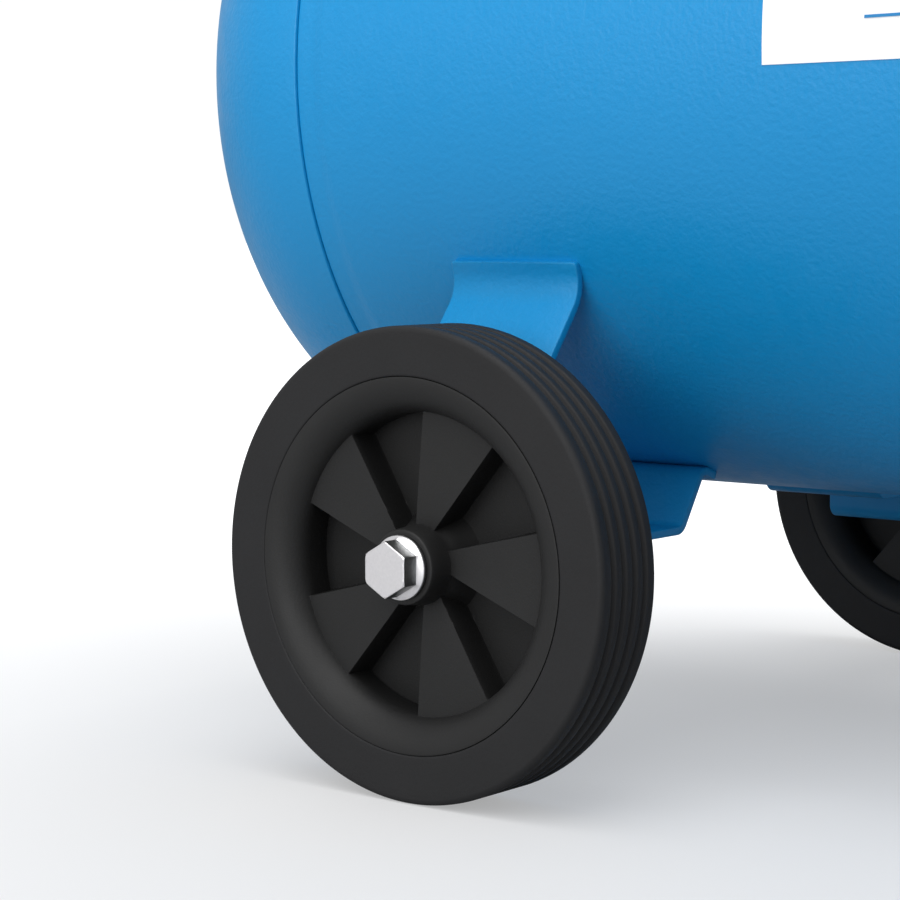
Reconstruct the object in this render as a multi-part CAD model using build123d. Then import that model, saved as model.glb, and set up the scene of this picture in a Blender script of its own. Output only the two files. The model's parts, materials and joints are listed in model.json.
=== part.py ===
from build123d import *
import math
import os

# Belt-driven air compressor on a horizontal 50 litre receiver, with two wheels at the rear and a foot at the front.
# Frame: millimetres, +Z up, +X towards the handle and front foot, origin on the floor at the centre of the footprint.
# The right side of the machine is -Y.

# ---------------------------------------------------------------- driving dimensions
HALF_LEN = 440.0          # half of the overall length
TANK_R = 150.0            # receiver outside radius
TANK_WALL = 2.5
TANK_Z = 239.0            # receiver axis height
HEAD_DEPTH = 92.6         # elliptical part of a dished head
HEAD_SKIRT = 10.3         # straight part of a dished head
TANK_LEN = 770.0
SEAM_R = -HALF_LEN + HEAD_DEPTH + HEAD_SKIRT            # rear seam between head and shell
SEAM_F = -HALF_LEN + TANK_LEN - HEAD_DEPTH - HEAD_SKIRT  # front seam
JOGGLE = 9.7              # from a seam to the swaged groove

WHEEL_R = 76.0
WHEEL_W = 29.2
WHEEL_X = -254.4          # wheel axis
WHEEL_Y = 176.2           # mid-plane of a wheel
RIM_R = 60.7              # where the tyre meets the rim on the side
RIM_IN = 49.0
HUB_R = 12.8
HUB_OUT = 1.35             # the hub boss stands this far out of the wheel's side
SLEEVE_R = 7.0
RUN = 0.06                # running clearance, radial

SHEET = 3.0
BRACKET_X0, BRACKET_X1 = WHEEL_X - 24.4, WHEEL_X + 27.3

FOOT_X = 150.0
PAD_R, PAD_H, PAD_Y = 20.0, 24.0, 98.0

PLATE_X0, PLATE_X1, PLATE_Y = -262.0, 136.0, 95.0
PLATE_Z0, PLATE_Z1 = 400.0, 403.0

MOTOR_X, MOTOR_Z = -160.0, 483.0
PUMP_X, PUMP_Z = 60.0, 503.0
BELT_Y = -117.0
PITCH_M, PITCH_F = 44.0, 121.0      # pitch radii of the motor pulley and the flywheel
THROW, ROD_LEN = 20.0, 90.0
CYL_Y = (-33.0, 37.0)
BORE_R = 27.5
DECK_Z = 640.0

CTRL_X, CTRL_Z = 190.0, 440.0       # manifold centre
REG_X = 243.0
VALVE_X = 290.0
HANDLE_Y, HANDLE_R = 100.0, 12.5

os.makedirs("parts", exist_ok=True)


# ---------------------------------------------------------------- helpers
def bx(x0, x1, y0, y1, z0, z1):
    return Pos((x0 + x1) / 2, (y0 + y1) / 2, (z0 + z1) / 2) * Box(x1 - x0, y1 - y0, z1 - z0)


def cx(r, x0, x1, y, z):
    return Pos((x0 + x1) / 2, y, z) * Rot(0, 90, 0) * Cylinder(r, abs(x1 - x0))


def cy(r, y0, y1, x, z):
    return Pos(x, (y0 + y1) / 2, z) * Rot(90, 0, 0) * Cylinder(r, abs(y1 - y0))


def cz(r, z0, z1, x, y):
    return Pos(x, y, (z0 + z1) / 2) * Cylinder(r, abs(z1 - z0))


def hexz(af, z0, z1, x, y, turn=0.0):
    return Pos(x, y, z0) * Rot(0, 0, turn) * extrude(RegularPolygon(af / 2, 6, major_radius=False), z1 - z0)


def hexy(af, y0, y1, x, z, turn=0.0):
    s = Rot(0, 0, turn) * extrude(RegularPolygon(af / 2, 6, major_radius=False), y1 - y0)
    return Pos(x, y0, z) * Rot(-90, 0, 0) * s


def hexx(af, x0, x1, y, z, turn=0.0):
    s = Rot(0, 0, turn) * extrude(RegularPolygon(af / 2, 6, major_radius=False), x1 - x0)
    return Pos(x0, y, z) * Rot(0, 90, 0) * s


def pipe(pts, r, bend, inner=0.0):
    path = FilletPolyline(*pts, radius=bend)
    pl = Plane(origin=path @ 0, z_dir=path % 0)
    sec = pl * Circle(r)
    body = sweep(sec, path=path)
    if inner:
        body -= sweep(pl * Circle(inner), path=path)
    return body


def strip(pts_yz, radii, x0, x1, t):
    """A sheet of thickness t and width x1-x0 bent along a polyline in the YZ plane."""
    xm = (x0 + x1) / 2
    path = FilletPolyline(*[(xm, y, z) for y, z in pts_yz], radius=radii)
    pl = Plane(origin=path @ 0, x_dir=(1, 0, 0), z_dir=path % 0)
    return sweep(pl * Rectangle(x1 - x0, t), path=path)


def turned_y(pts_ry, x=0.0, z=0.0):
    """Solid of revolution about the Y axis through (x, z) from (radius, y) points."""
    f = make_face(Polyline(*[(r, y, 0) for r, y in pts_ry], close=True))
    return Pos(x, 0, z) * revolve(f, Axis.Y, 360)


def turned_z(pts_rz, x=0.0, y=0.0):
    f = make_face(Polyline(*[(r, 0, z) for r, z in pts_rz], close=True))
    return Pos(x, y, 0) * revolve(f, Axis.Z, 360)


def turned_x(pts_rx, y=0.0, z=0.0):
    f = make_face(Polyline(*[(x, r, 0) for r, x in pts_rx], close=True))
    return Pos(0, y, z) * revolve(f, Axis.X, 360)


def mirror_y(s):
    return mirror(s, about=Plane.XZ)


def solids_of(s):
    if isinstance(s, (list, tuple)):
        out = []
        for q in s:
            out += solids_of(q)
        return out
    return list(s.solids())


NODES = {}


def save(name, *shapes):
    NODES.setdefault(name, []).extend(solids_of(list(shapes)))


TANK_CYL = cx(TANK_R, -HALF_LEN - 50, HALF_LEN + 50, 0, TANK_Z)

# ---------------------------------------------------------------- receiver
RISER = (CTRL_X, 0.0)
CHECK = (-40.0, 118.0)
DRAIN_X = -20.0

shell = cx(TANK_R, SEAM_R, SEAM_F, 0, TANK_Z) - cx(TANK_R - TANK_WALL, SEAM_R - 1, SEAM_F + 1, 0, TANK_Z)
for seam, sgn in ((SEAM_R, 1), (SEAM_F, -1)):
    # joggled lip that slides inside the head, and the shallow swaged groove outside it
    lip = turned_x([(144.4, seam - sgn * 12), (147.3, seam - sgn * 12), (147.3, seam), (TANK_R - 1, seam), (TANK_R - 1, seam + sgn * 6), (144.4, seam + sgn * 4)], 0, TANK_Z)
    shell = shell + lip
    groove = Pos(0, 0, TANK_Z) * revolve(make_face(Polyline((seam + sgn * JOGGLE - 3.2, TANK_R + 0.5, 0), (seam + sgn * JOGGLE - 3.2, TANK_R, 0), (seam + sgn * JOGGLE - 1.2, TANK_R - 0.75, 0), (seam + sgn * JOGGLE + 1.2, TANK_R - 0.75, 0), (seam + sgn * JOGGLE + 3.2, TANK_R, 0), (seam + sgn * JOGGLE + 3.2, TANK_R + 0.5, 0), close=True)), Axis.X, 360)
    shell -= groove
    shell -= turned_x([(TANK_R - 0.5, seam), (TANK_R + 0.2, seam), (TANK_R + 0.2, seam + sgn * 0.7)], 0, TANK_Z)
shell -= cz(9.9, 380, 400, *RISER)
shell -= cz(9.9, 310, 345, *CHECK)
shell -= cz(5, 80, 95, DRAIN_X, 0)
save("tank_shell", shell)


def head(seam):
    """A dished front end: a short straight skirt and a semi-ellipse of revolution."""
    sgn = 1

    def body(r, depth, skirt):
        arc = EllipticalCenterArc((seam + sgn * skirt, 0), depth, r, start_angle=0, arc_size=90)
        tip = seam + sgn * (skirt + depth)
        pts = Polyline((tip, 0), (seam, 0), (seam, r), (seam + sgn * skirt, r))
        return Pos(0, 0, TANK_Z) * revolve(make_face([arc, *pts.edges()]), Axis.X, 360)
    outer = body(TANK_R, HEAD_DEPTH, HEAD_SKIRT)
    inner = body(TANK_R - TANK_WALL, HEAD_DEPTH - TANK_WALL, HEAD_SKIRT)
    h = outer - inner
    h -= turned_x([(TANK_R - 0.5, seam), (TANK_R + 0.2, seam), (TANK_R + 0.2, seam + sgn * 0.7)], 0, TANK_Z)
    return h


save("tank_heads", mirror(head(-SEAM_R), about=Plane.YZ))
fh = head(SEAM_F)
PLUG_X = -HALF_LEN + TANK_LEN
fh -= cx(16.9, PLUG_X - 20, PLUG_X + 5, 0, TANK_Z)
save("tank_heads", fh)

boss_r = cz(19, 384, 398, *RISER) - cz(9.9, 380, 400, *RISER) - TANK_CYL
boss_c = cz(17, 322, 348, *CHECK) - cz(9.9, 315, 350, *CHECK) - TANK_CYL
boss_d = cz(15, 78, 96, DRAIN_X, 0) - cz(6.6, 70, 96, DRAIN_X, 0) - TANK_CYL
boss_i = cx(27, PLUG_X - 6, PLUG_X + 9, 0, TANK_Z) - cx(16.9, PLUG_X - 10, PLUG_X + 12, 0, TANK_Z)
boss_i -= head(SEAM_F) + cx(60, PLUG_X - 40, PLUG_X - 4.0, 0, TANK_Z)
save("tank_bosses", max(boss_r.solids(), key=lambda s: s.volume), max(boss_c.solids(), key=lambda s: s.volume),
     min(boss_d.solids(), key=lambda s: s.center().Z), max(boss_i.solids(), key=lambda s: s.volume))
plug = cx(16.8, PLUG_X - 1, PLUG_X + 9, 0, TANK_Z) + hexx(36, PLUG_X + 9.05, PLUG_X + 18, 0, TANK_Z) + cx(16.8, PLUG_X + 9, PLUG_X + 9.05, 0, TANK_Z)
save("fasteners", plug)

# labels: thin skins on both flanks
A0, A1 = -2.6, 46.0
LX0, LX1 = WHEEL_X + 105.4, 150.0


def label(side):
    ring = cx(TANK_R + 0.35, LX0, LX1, 0, TANK_Z) - cx(TANK_R + 0.03, LX0 - 1, LX1 + 1, 0, TANK_Z)
    pts = [(0, 0)] + [(side * 300 * math.cos(math.radians(a)), 300 * math.sin(math.radians(a))) for a in (A0, 20, A1)]
    wedge = extrude(Plane.YZ * make_face(Polyline(*pts, close=True)), 400, both=True)
    return ring & (Pos(0, 0, TANK_Z) * wedge)


save("tank_labels", label(-1), label(1) - cz(17.6, 300, 360, *CHECK))

# ---------------------------------------------------------------- wheel brackets
PROFILE = [(-135.9, 172.1), (-132.3, 165.4), (-155.5, 134.8), (-155.5, 63.5), (-122.0, 63.5), (-122.0, 78.4), (-72.7, 78.4), (-59.2, 99.6), (-50.5, 96.3)]
RADII = [8.0, 9.0, 5.0, 4.0, 4.0, 5.0, 5.0]
br = strip(PROFILE, RADII, BRACKET_X0, BRACKET_X1, SHEET) - TANK_CYL
br = max(br.solids(), key=lambda s: s.volume)
br = br - cy(5.3, -165, -150, WHEEL_X, WHEEL_R)
save("wheel_brackets", br, mirror_y(br))

# ---------------------------------------------------------------- wheels, built for the right side and mirrored
HW = WHEEL_W / 2


def wheel_parts():
    y0 = -WHEEL_Y
    # tyre: flat sides, four tread grooves, a tongue that sits in the rim
    prof = [(RIM_R + 0.05, -HW), (WHEEL_R - 1.6, -HW), (WHEEL_R - 0.5, -HW + 0.5), (WHEEL_R, -HW + 1.6)]
    for k in range(4):
        c = -8.4 + 5.6 * k
        prof += [(WHEEL_R, c - 1.3), (WHEEL_R - 1.7, c - 0.8), (WHEEL_R - 1.7, c + 0.8), (WHEEL_R, c + 1.3)]
    prof += [(WHEEL_R, HW - 1.6), (WHEEL_R - 0.5, HW - 0.5), (WHEEL_R - 1.6, HW), (RIM_R + 0.05, HW), (RIM_R + 0.05, 10.4), (58.05, 9.4), (58.05, -9.4), (RIM_R + 0.05, -10.4)]
    tyre = Pos(WHEEL_X, y0, WHEEL_R) * turned_y(prof)
    # rim ring with rolled inner lips
    lip = 9.0
    pts = [(RIM_R, -HW), (RIM_IN + lip, -HW)]
    pts += [(RIM_IN + lip - lip * math.sin(a), -HW + lip - lip * math.cos(a)) for a in [math.pi / 2 * k / 6 for k in range(1, 7)]]
    pts += [(RIM_IN + lip - lip * math.cos(a), HW - lip + lip * math.sin(a)) for a in [math.pi / 2 * k / 6 for k in range(0, 6)]]
    pts += [(RIM_IN + lip, HW), (RIM_R, HW), (RIM_R, 10.5), (58.0, 9.5), (58.0, -9.5), (RIM_R, -10.5)]
    rim = turned_y(pts)
    hub = cy(HUB_R, -HW - HUB_OUT, HW, 0, 0)
    disc = hub
    wedge_r = RIM_IN + 1.2
    t = 4.0
    for k in range(5):
        for off, s0, s1 in ((0, -7.3, -7.3 + t), (36, 8.3 - t, 8.3)):
            a = math.radians(72 * k + off)
            w = math.radians(18.0)
            p = [(10 * math.cos(a), 10 * math.sin(a))]
            p = [(10 * math.cos(a - w), 10 * math.sin(a - w))] + [(wedge_r / math.cos(w / 6) * math.cos(a + q * w / 3), wedge_r / math.cos(w / 6) * math.sin(a + q * w / 3)) for q in (-3, -2, -1, 0, 1, 2, 3)] + [(10 * math.cos(a + w), 10 * math.sin(a + w))]
            f = make_face(Polyline(*[(u, v) for u, v in p], close=True))
            s = Rot(90, 0, 0) * extrude(f, s1 - s0)         # local z -> -y
            disc += Pos(0, s1, 0) * s
    for k in range(10):
        a = 18 + 36 * k
        wall = Rot(0, -a, 0) * bx(10, wedge_r, -7.3, 8.3, -1.4, 1.4)
        disc += wall
    disc = disc & cy(RIM_IN + 1.2, -HW - 2, HW, 0, 0)
    rim = rim + disc
    rim -= cy(SLEEVE_R + RUN, -HW - 3, HW + 1, 0, 0)
    rim = Pos(WHEEL_X, y0, WHEEL_R) * rim
    return tyre, rim


tyre, rim = wheel_parts()
save("tyre_right", tyre)
save("rim_right", rim)
save("tyre_left", mirror_y(tyre))
save("rim_left", mirror_y(rim))

FACE_Y = -WHEEL_Y - HW
yb = FACE_Y - HUB_OUT - 0.4
sleeve = cy(SLEEVE_R, yb, -161.2, WHEEL_X, WHEEL_R) - cy(5.2, yb - 1, -160, WHEEL_X, WHEEL_R)
spacer = cy(12.0, -161.2, -157.0, WHEEL_X, WHEEL_R) - cy(5.2, -162, -156, WHEEL_X, WHEEL_R)
save("wheel_bolts", sleeve, mirror_y(sleeve))
save("wheel_bolts", spacer, mirror_y(spacer))
head_c = turned_y([(0, yb), (10.45, yb), (10.45, yb - 1.3), (8.6, yb - 2.2), (0, yb - 2.2)], WHEEL_X, WHEEL_R)
hx = hexy(16, yb - 8.3, yb - 1.6, WHEEL_X, WHEEL_R, 0)
cone = turned_y([(0, yb - 1), (9.9, yb - 1), (9.9, yb - 7.7), (8.8, yb - 8.4), (0, yb - 8.4)], WHEEL_X, WHEEL_R)
bolt = head_c + (hx & cone) + cy(5.0, yb, -141.5, WHEEL_X, WHEEL_R)
save("wheel_bolts", bolt, mirror_y(bolt))
nut = hexy(16, -153.95, -145.5, WHEEL_X, WHEEL_R) - cy(5.0, -156, -144, WHEEL_X, WHEEL_R)
save("wheel_bolts", nut, mirror_y(nut))

# ---------------------------------------------------------------- front foot and pads
fz = PAD_H + 1.5
leg = [(-84.0, 112.5), (-91.5, 118.5), (-116.0, fz), (116.0, fz), (91.5, 118.5), (84.0, 112.5)]
foot = strip(leg, [5.0, 9.0, 9.0, 5.0], FOOT_X - 30, FOOT_X + 30, SHEET) - TANK_CYL
foot = max(foot.solids(), key=lambda s: s.volume)
for s in (-1, 1):
    foot -= cz(4.5, 20, 32, FOOT_X, s * PAD_Y)
save("front_foot", foot)
pads, pbolts = [], []
for s in (-1, 1):
    p = turned_z([(0, 0), (PAD_R - 2, 0), (PAD_R, 2), (PAD_R - 3, PAD_H), (0, PAD_H)], FOOT_X, s * PAD_Y) - cz(4.1, 8, PAD_H + 1, FOOT_X, s * PAD_Y)
    pads.append(p)
    pbolts.append(cz(4.0, 9, PAD_H + SHEET, FOOT_X, s * PAD_Y) + hexz(13, PAD_H + SHEET, PAD_H + SHEET + 5.3, FOOT_X, s * PAD_Y))
save("foot_pads", *pads)
save("fasteners", *pbolts)

# ---------------------------------------------------------------- platform
plate = bx(PLATE_X0, PLATE_X1, -PLATE_Y, PLATE_Y, 382, PLATE_Z1)
plate = fillet(plate.edges().filter_by(Axis.X).group_by(Axis.Z)[-1], 5)
inner = bx(PLATE_X0 - 1, PLATE_X1 + 1, -PLATE_Y + SHEET, PLATE_Y - SHEET, 381, PLATE_Z0)
inner = fillet(inner.edges().filter_by(Axis.X).group_by(Axis.Z)[-1], 2)
plate -= inner
M_BOLTS = [(MOTOR_X + sx * 52, y) for sx in (-1, 1) for y in (-28, 48)]
P_BOLTS = [(PUMP_X + sx * 64.5, y) for sx in (-1, 1) for y in (-52, 58)]
for x, y in M_BOLTS + P_BOLTS:
    plate -= cz(4.5, 395, 405, x, y)
for x in (-18, 42, 128):
    plate -= cy(3.2, -96, -90, x, 392)
save("platform", plate)
sad = []
for x in (-212, 88):
    s = bx(x - 27, x + 27, -90, 90, 340, PLATE_Z0) - bx(x - 24, x + 24, -87, 87, 339, PLATE_Z0 - SHEET) - TANK_CYL
    for bxx, byy in M_BOLTS + P_BOLTS:
        s -= cz(8.6, 385, 402, bxx, byy)
    sad.append(max(s.solids(), key=lambda q: q.volume))
save("tank_saddles", *sad)

# ---------------------------------------------------------------- handle
hx1 = HALF_LEN - 17.0
hz = TANK_Z + math.sqrt((TANK_R + HANDLE_R + 3.0) ** 2 - HANDLE_Y ** 2)
pts = [(140, -HANDLE_Y, hz), (226, -HANDLE_Y, hz), (308, -HANDLE_Y, 425), (hx1, -HANDLE_Y, 470),
       (hx1, HANDLE_Y, 470), (308, HANDLE_Y, 425), (226, HANDLE_Y, hz), (140, HANDLE_Y, hz)]
tube = pipe(pts, HANDLE_R, [60, 60, 42, 42, 60, 60], inner=HANDLE_R - 1.8)
for s in (-1, 1):
    for x in (152, 192):
        ang = math.atan2(s * HANDLE_Y, hz - TANK_Z)
        tube -= Pos(x, s * HANDLE_Y, hz) * Rot(-math.degrees(ang), 0, 0) * Cylinder(3.2, 60)
save("handle_tube", tube)
saddles, hbolts, caps = [], [], []
for s in (-1, 1):
    ang = math.degrees(math.atan2(s * HANDLE_Y, hz - TANK_Z))
    blk = Pos(172, 0, TANK_Z) * Rot(-ang, 0, 0) * Pos(0, 0, TANK_R + 5) * Box(64, 26, 20)
    blk = blk - TANK_CYL - cx(HANDLE_R + 0.05, 100, 260, s * HANDLE_Y, hz)
    blk = max(blk.solids(), key=lambda q: q.volume)
    for x in (152, 192):
        hole = Pos(x, s * HANDLE_Y, hz) * Rot(-ang, 0, 0) * Pos(0, 0, -10) * Cylinder(3.05, 60)
        blk -= hole
        b = Pos(x, s * HANDLE_Y, hz) * Rot(-ang, 0, 0)
        hbolts.append(b * (Pos(0, 0, 0.6) * Cylinder(3.0, 26.4) + Pos(0, 0, 14.9) * extrude(RegularPolygon(5, 6, major_radius=False), 4) + Pos(0, 0, 13.75) * Cylinder(5.6, 2.3)))
    saddles.append(blk)
    c = cx(HANDLE_R, 136.5, 140, s * HANDLE_Y, hz) + cx(HANDLE_R - 1.85, 140, 152 - 6, s * HANDLE_Y, hz)
    caps.append(c)
save("tank_saddles", *saddles)
save("fasteners", *hbolts)
save("handle_grip", *caps)
grip = cy(17.0, -52, 52, hx1, 470)
grip = fillet(grip.edges().filter_by(GeomType.CIRCLE), 3)
for y in range(-42, 43, 12):
    grip -= Pos(hx1, y, 470) * Rot(90, 0, 0) * Torus(18.2, 2.4)
grip -= cy(HANDLE_R + 0.03, -60, 60, hx1, 470)
save("handle_grip", grip)

# ---------------------------------------------------------------- electric motor
mh = cy(70, -55, 75, MOTOR_X, MOTOR_Z)
for k in range(28):
    ang = 360 / 28 * k
    if 225 < ang < 315:
        continue
    mh += Pos(MOTOR_X, 10, MOTOR_Z) * Rot(0, -ang, 0) * Pos(72, 0, 0) * Box(13, 126, 2.4)
feet = bx(MOTOR_X - 66, MOTOR_X + 66, -42, 62, PLATE_Z1, PLATE_Z1 + 9) + bx(MOTOR_X - 42, MOTOR_X + 42, -38, 58, PLATE_Z1, MOTOR_Z - 50)
mh = mh + feet - bx(MOTOR_X - 30, MOTOR_X + 30, -39, 59, PLATE_Z1 - 1, MOTOR_Z - 72)
mh -= cy(64, -56, 76, MOTOR_X, MOTOR_Z)
for x, y in M_BOLTS:
    mh -= cz(4.5, 400, 415, x, y)
save("motor_housing", mh)
stator = cy(63.9, -34, 52, MOTOR_X, MOTOR_Z) - cy(38.2, -60, 80, MOTOR_X, MOTOR_Z)
save("motor_stator", stator)
wind = (cy(60, -48, -34, MOTOR_X, MOTOR_Z) + cy(60, 52, 66, MOTOR_X, MOTOR_Z))
wind -= cy(41, -60, 80, MOTOR_X, MOTOR_Z)
save("motor_stator", wind)
des = turned_y([(12.4, -84), (30, -84), (34, -78), (64, -70), (72, -66), (72, -55), (63.8, -55), (63.8, -50), (61, -50), (61, -60), (30, -66), (26.05, -66), (26.05, -82), (12.4, -82)], MOTOR_X, MOTOR_Z)
save("motor_end_shields", des)
rs = turned_y([(12.4, 92), (30, 92), (34, 88), (72, 84), (72, 75), (63.8, 75), (63.8, 70), (61, 70), (61, 78), (30, 76), (26.05, 76), (26.05, 90), (12.4, 90)], MOTOR_X, MOTOR_Z)
save("motor_end_shields", rs)
cowl = turned_y([(72.1, 78), (74.5, 78), (74.5, 144), (68, 150), (10, 150), (10, 148), (67, 148), (72.1, 143)], MOTOR_X, MOTOR_Z)
cowl -= cy(10.5, 140, 155, MOTOR_X, MOTOR_Z)
cowl += cy(10.6, 148, 150, MOTOR_X, MOTOR_Z)
for ring, n in ((24, 10), (40, 16), (56, 22)):
    for k in range(n):
        cowl -= Pos(MOTOR_X, 149, MOTOR_Z) * Rot(0, -360 / n * k, 0) * Pos(ring, 0, 0) * Box(11, 8, 4.2)
save("motor_fan_cowl", cowl)
mb = []
for y0, y1 in ((-82.0, -67.0), (77.0, 90.0)):
    mb.append(cy(26.0, y0 + 0.1, y1, MOTOR_X, MOTOR_Z) - cy(12.05, y0 - 1, y1 + 1, MOTOR_X, MOTOR_Z))
save("bearings", *mb)
shaft = cy(12.0, -132, 118, MOTOR_X, MOTOR_Z)
save("motor_rotor", shaft)
rotor = cy(37.9, -34, 52, MOTOR_X, MOTOR_Z) + cy(34, -42, 60, MOTOR_X, MOTOR_Z) - cy(12.0, -60, 80, MOTOR_X, MOTOR_Z)
save("motor_rotor", rotor)
fan = cy(20, 98, 122, MOTOR_X, MOTOR_Z) + cy(62, 98, 100, MOTOR_X, MOTOR_Z)
for k in range(9):
    fan += Pos(MOTOR_X, 109, MOTOR_Z) * Rot(0, -40 * k, 0) * Pos(40.5, 0, 0) * Box(43, 20, 2.2)
fan -= cy(12.0, 95, 118, MOTOR_X, MOTOR_Z)
save("motor_fan", fan)
tb = bx(MOTOR_X - 50, MOTOR_X + 50, -38, 46, 540, 598)
tb = fillet(tb.edges().filter_by(Axis.Z), 8)
tb = fillet(tb.edges().group_by(Axis.Z)[-1], 4)
ti = bx(MOTOR_X - 47, MOTOR_X + 47, -35, 43, 566, 595)
tb -= fillet(ti.edges().filter_by(Axis.Z), 5)
tb -= cy(78.7, -60, 60, MOTOR_X, MOTOR_Z)
tb -= cx(8.05, MOTOR_X + 40, MOTOR_X + 55, 20, 580)
tb -= cz(5.1, 590, 600, MOTOR_X - 30, 26)
tb = max(tb.solids(), key=lambda q: q.volume)
save("terminal_box", tb)
rst = cz(5.0, 588, 602, MOTOR_X - 30, 26) + cz(7.0, 588.5, 591.5, MOTOR_X - 30, 26)
save("reset_button", rst)

# ---------------------------------------------------------------- pulleys, flywheel, belt
TAN = math.tan(math.radians(19))


def groove_cut(pitch, x, z):
    def w(rho):
        return 6.5 + 0.15 + (rho - 2.5) * TAN
    return turned_y([(pitch - 7.5, BELT_Y - w(-7.5)), (pitch + 5, BELT_Y - w(5)), (pitch + 5, BELT_Y + w(5)), (pitch - 7.5, BELT_Y + w(-7.5))], x, z)


pul = cy(PITCH_M + 4, BELT_Y - 12, BELT_Y + 12, MOTOR_X, MOTOR_Z) + cy(20, BELT_Y - 14, BELT_Y + 18, MOTOR_X, MOTOR_Z)
pul -= groove_cut(PITCH_M, MOTOR_X, MOTOR_Z)
pul -= cy(12.0, -140, -80, MOTOR_X, MOTOR_Z)
pul -= cy(32, BELT_Y - 13, BELT_Y - 6, MOTOR_X, MOTOR_Z) - cy(20, BELT_Y - 14, BELT_Y, MOTOR_X, MOTOR_Z)
save("motor_pulley", pul)

fw = cy(PITCH_F + 4, BELT_Y - 13, BELT_Y + 13, PUMP_X, PUMP_Z) - cy(PITCH_F - 12, BELT_Y - 20, BELT_Y + 20, PUMP_X, PUMP_Z)
fw -= groove_cut(PITCH_F, PUMP_X, PUMP_Z)
fw += cy(26, BELT_Y - 14, BELT_Y + 15, PUMP_X, PUMP_Z)
for k in range(6):
    sp = Rot(0, -60 * k, 0) * Pos(67, 0, 0) * Rot(28, 0, 0) * Box(88, 5, 34)
    sp = sp & cy(PITCH_F - 11.5, -12.8, 12.8, 0, 0)
    fw += Pos(PUMP_X, BELT_Y, PUMP_Z) * sp
fw -= cy(14.0, -150, -90, PUMP_X, PUMP_Z)
save("flywheel", fw)

# the belt as a trapezoid swept round both pulleys
dx, dz = PUMP_X - MOTOR_X, PUMP_Z - MOTOR_Z
dist = math.hypot(dx, dz)
base_ang = math.atan2(dz, dx)
al = math.asin((PITCH_F - PITCH_M) / dist)


def on(cxx, czz, r, ang):
    return (cxx + r * math.cos(ang), BELT_Y, czz + r * math.sin(ang))


up, dn = base_ang + math.pi / 2 + al, base_ang - math.pi / 2 - al
mu, md = on(MOTOR_X, MOTOR_Z, PITCH_M, up), on(MOTOR_X, MOTOR_Z, PITCH_M, dn)
fu, fd = on(PUMP_X, PUMP_Z, PITCH_F, up), on(PUMP_X, PUMP_Z, PITCH_F, dn)
mmid, fmid = on(MOTOR_X, MOTOR_Z, PITCH_M, base_ang + math.pi), on(PUMP_X, PUMP_Z, PITCH_F, base_ang)
wire = Wire([Line(mu, fu).edge(), ThreePointArc(fu, fmid, fd).edge(), Line(fd, md).edge(), ThreePointArc(md, mmid, mu).edge()])
sec_pl = Plane(origin=mu, x_dir=(0, 1, 0), z_dir=Vector(*fu) - Vector(*mu))
sgn = 1.0 if sec_pl.y_dir.Z > 0 else -1.0
sec = make_face(Polyline((-6.5, sgn * 2.5), (6.5, sgn * 2.5), (6.5 - 8 * TAN, sgn * -5.5), (-6.5 + 8 * TAN, sgn * -5.5), close=True))
belt = sweep(sec_pl * sec, path=wire)
save("drive_belt", belt)

# ---------------------------------------------------------------- belt guard


def race(rp, rm, y0, y1):
    a0 = math.asin((rp - rm) / dist)
    u, d = base_ang + math.pi / 2 + a0, base_ang - math.pi / 2 - a0
    f = make_face([Line(on(MOTOR_X, 0, rm, u)[::2] and (MOTOR_X + rm * math.cos(u), MOTOR_Z + rm * math.sin(u)), (PUMP_X + rp * math.cos(u), PUMP_Z + rp * math.sin(u))).edge(),
                   ThreePointArc((PUMP_X + rp * math.cos(u), PUMP_Z + rp * math.sin(u)), (PUMP_X + rp * math.cos(base_ang), PUMP_Z + rp * math.sin(base_ang)), (PUMP_X + rp * math.cos(d), PUMP_Z + rp * math.sin(d))).edge(),
                   Line((PUMP_X + rp * math.cos(d), PUMP_Z + rp * math.sin(d)), (MOTOR_X + rm * math.cos(d), MOTOR_Z + rm * math.sin(d))).edge(),
                   ThreePointArc((MOTOR_X + rm * math.cos(d), MOTOR_Z + rm * math.sin(d)), (MOTOR_X - rm * math.cos(base_ang), MOTOR_Z - rm * math.sin(base_ang)), (MOTOR_X + rm * math.cos(u), MOTOR_Z + rm * math.sin(u))).edge()])
    return Pos(0, y1, 0) * Rot(90, 0, 0) * extrude(f, y1 - y0)


GY0, GY1 = -144.0, -97.0
gb = race(142, 64, GY1, GY1 + 1.5)
gb -= cy(32, -100, -90, MOTOR_X, MOTOR_Z) + cy(48, -100, -90, PUMP_X, PUMP_Z)
for x in (-18, 42, 128):
    gb -= cy(3.2, -100, -90, x, 392)
save("belt_guard", gb)
gc = race(142, 64, GY0, GY1)
gc = fillet(gc.edges().group_by(Axis.Y)[0], 6)
gi = race(140.4, 62.4, GY0 + 1.6, GY1 + 1)
gi = fillet(gi.edges().group_by(Axis.Y)[0], 4.4)
gc -= gi
for cxx, czz, rr in ((PUMP_X, PUMP_Z, 122.0), (MOTOR_X, MOTOR_Z, 46.0)):
    n = int(rr // 10)
    for k in range(-n, n + 1):
        z = k * 11.0
        if abs(z) > rr - 10:
            continue
        half = math.sqrt(rr * rr - z * z)
        for x0, x1 in ((-half, -7), (7, half)):
            if x1 - x0 > 14:
                gc -= bx(cxx + x0, cxx + x1, GY0 - 1, GY0 + 4, czz + z - 2.8, czz + z + 2.8)
save("belt_guard", gc)
gbolts = []
for x in (-18, 42, 128):
    gbolts.append(cy(5.5, -100, GY1, x, 392) + cy(3.0, GY1, -86, x, 392))
save("fasteners", *gbolts)

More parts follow.
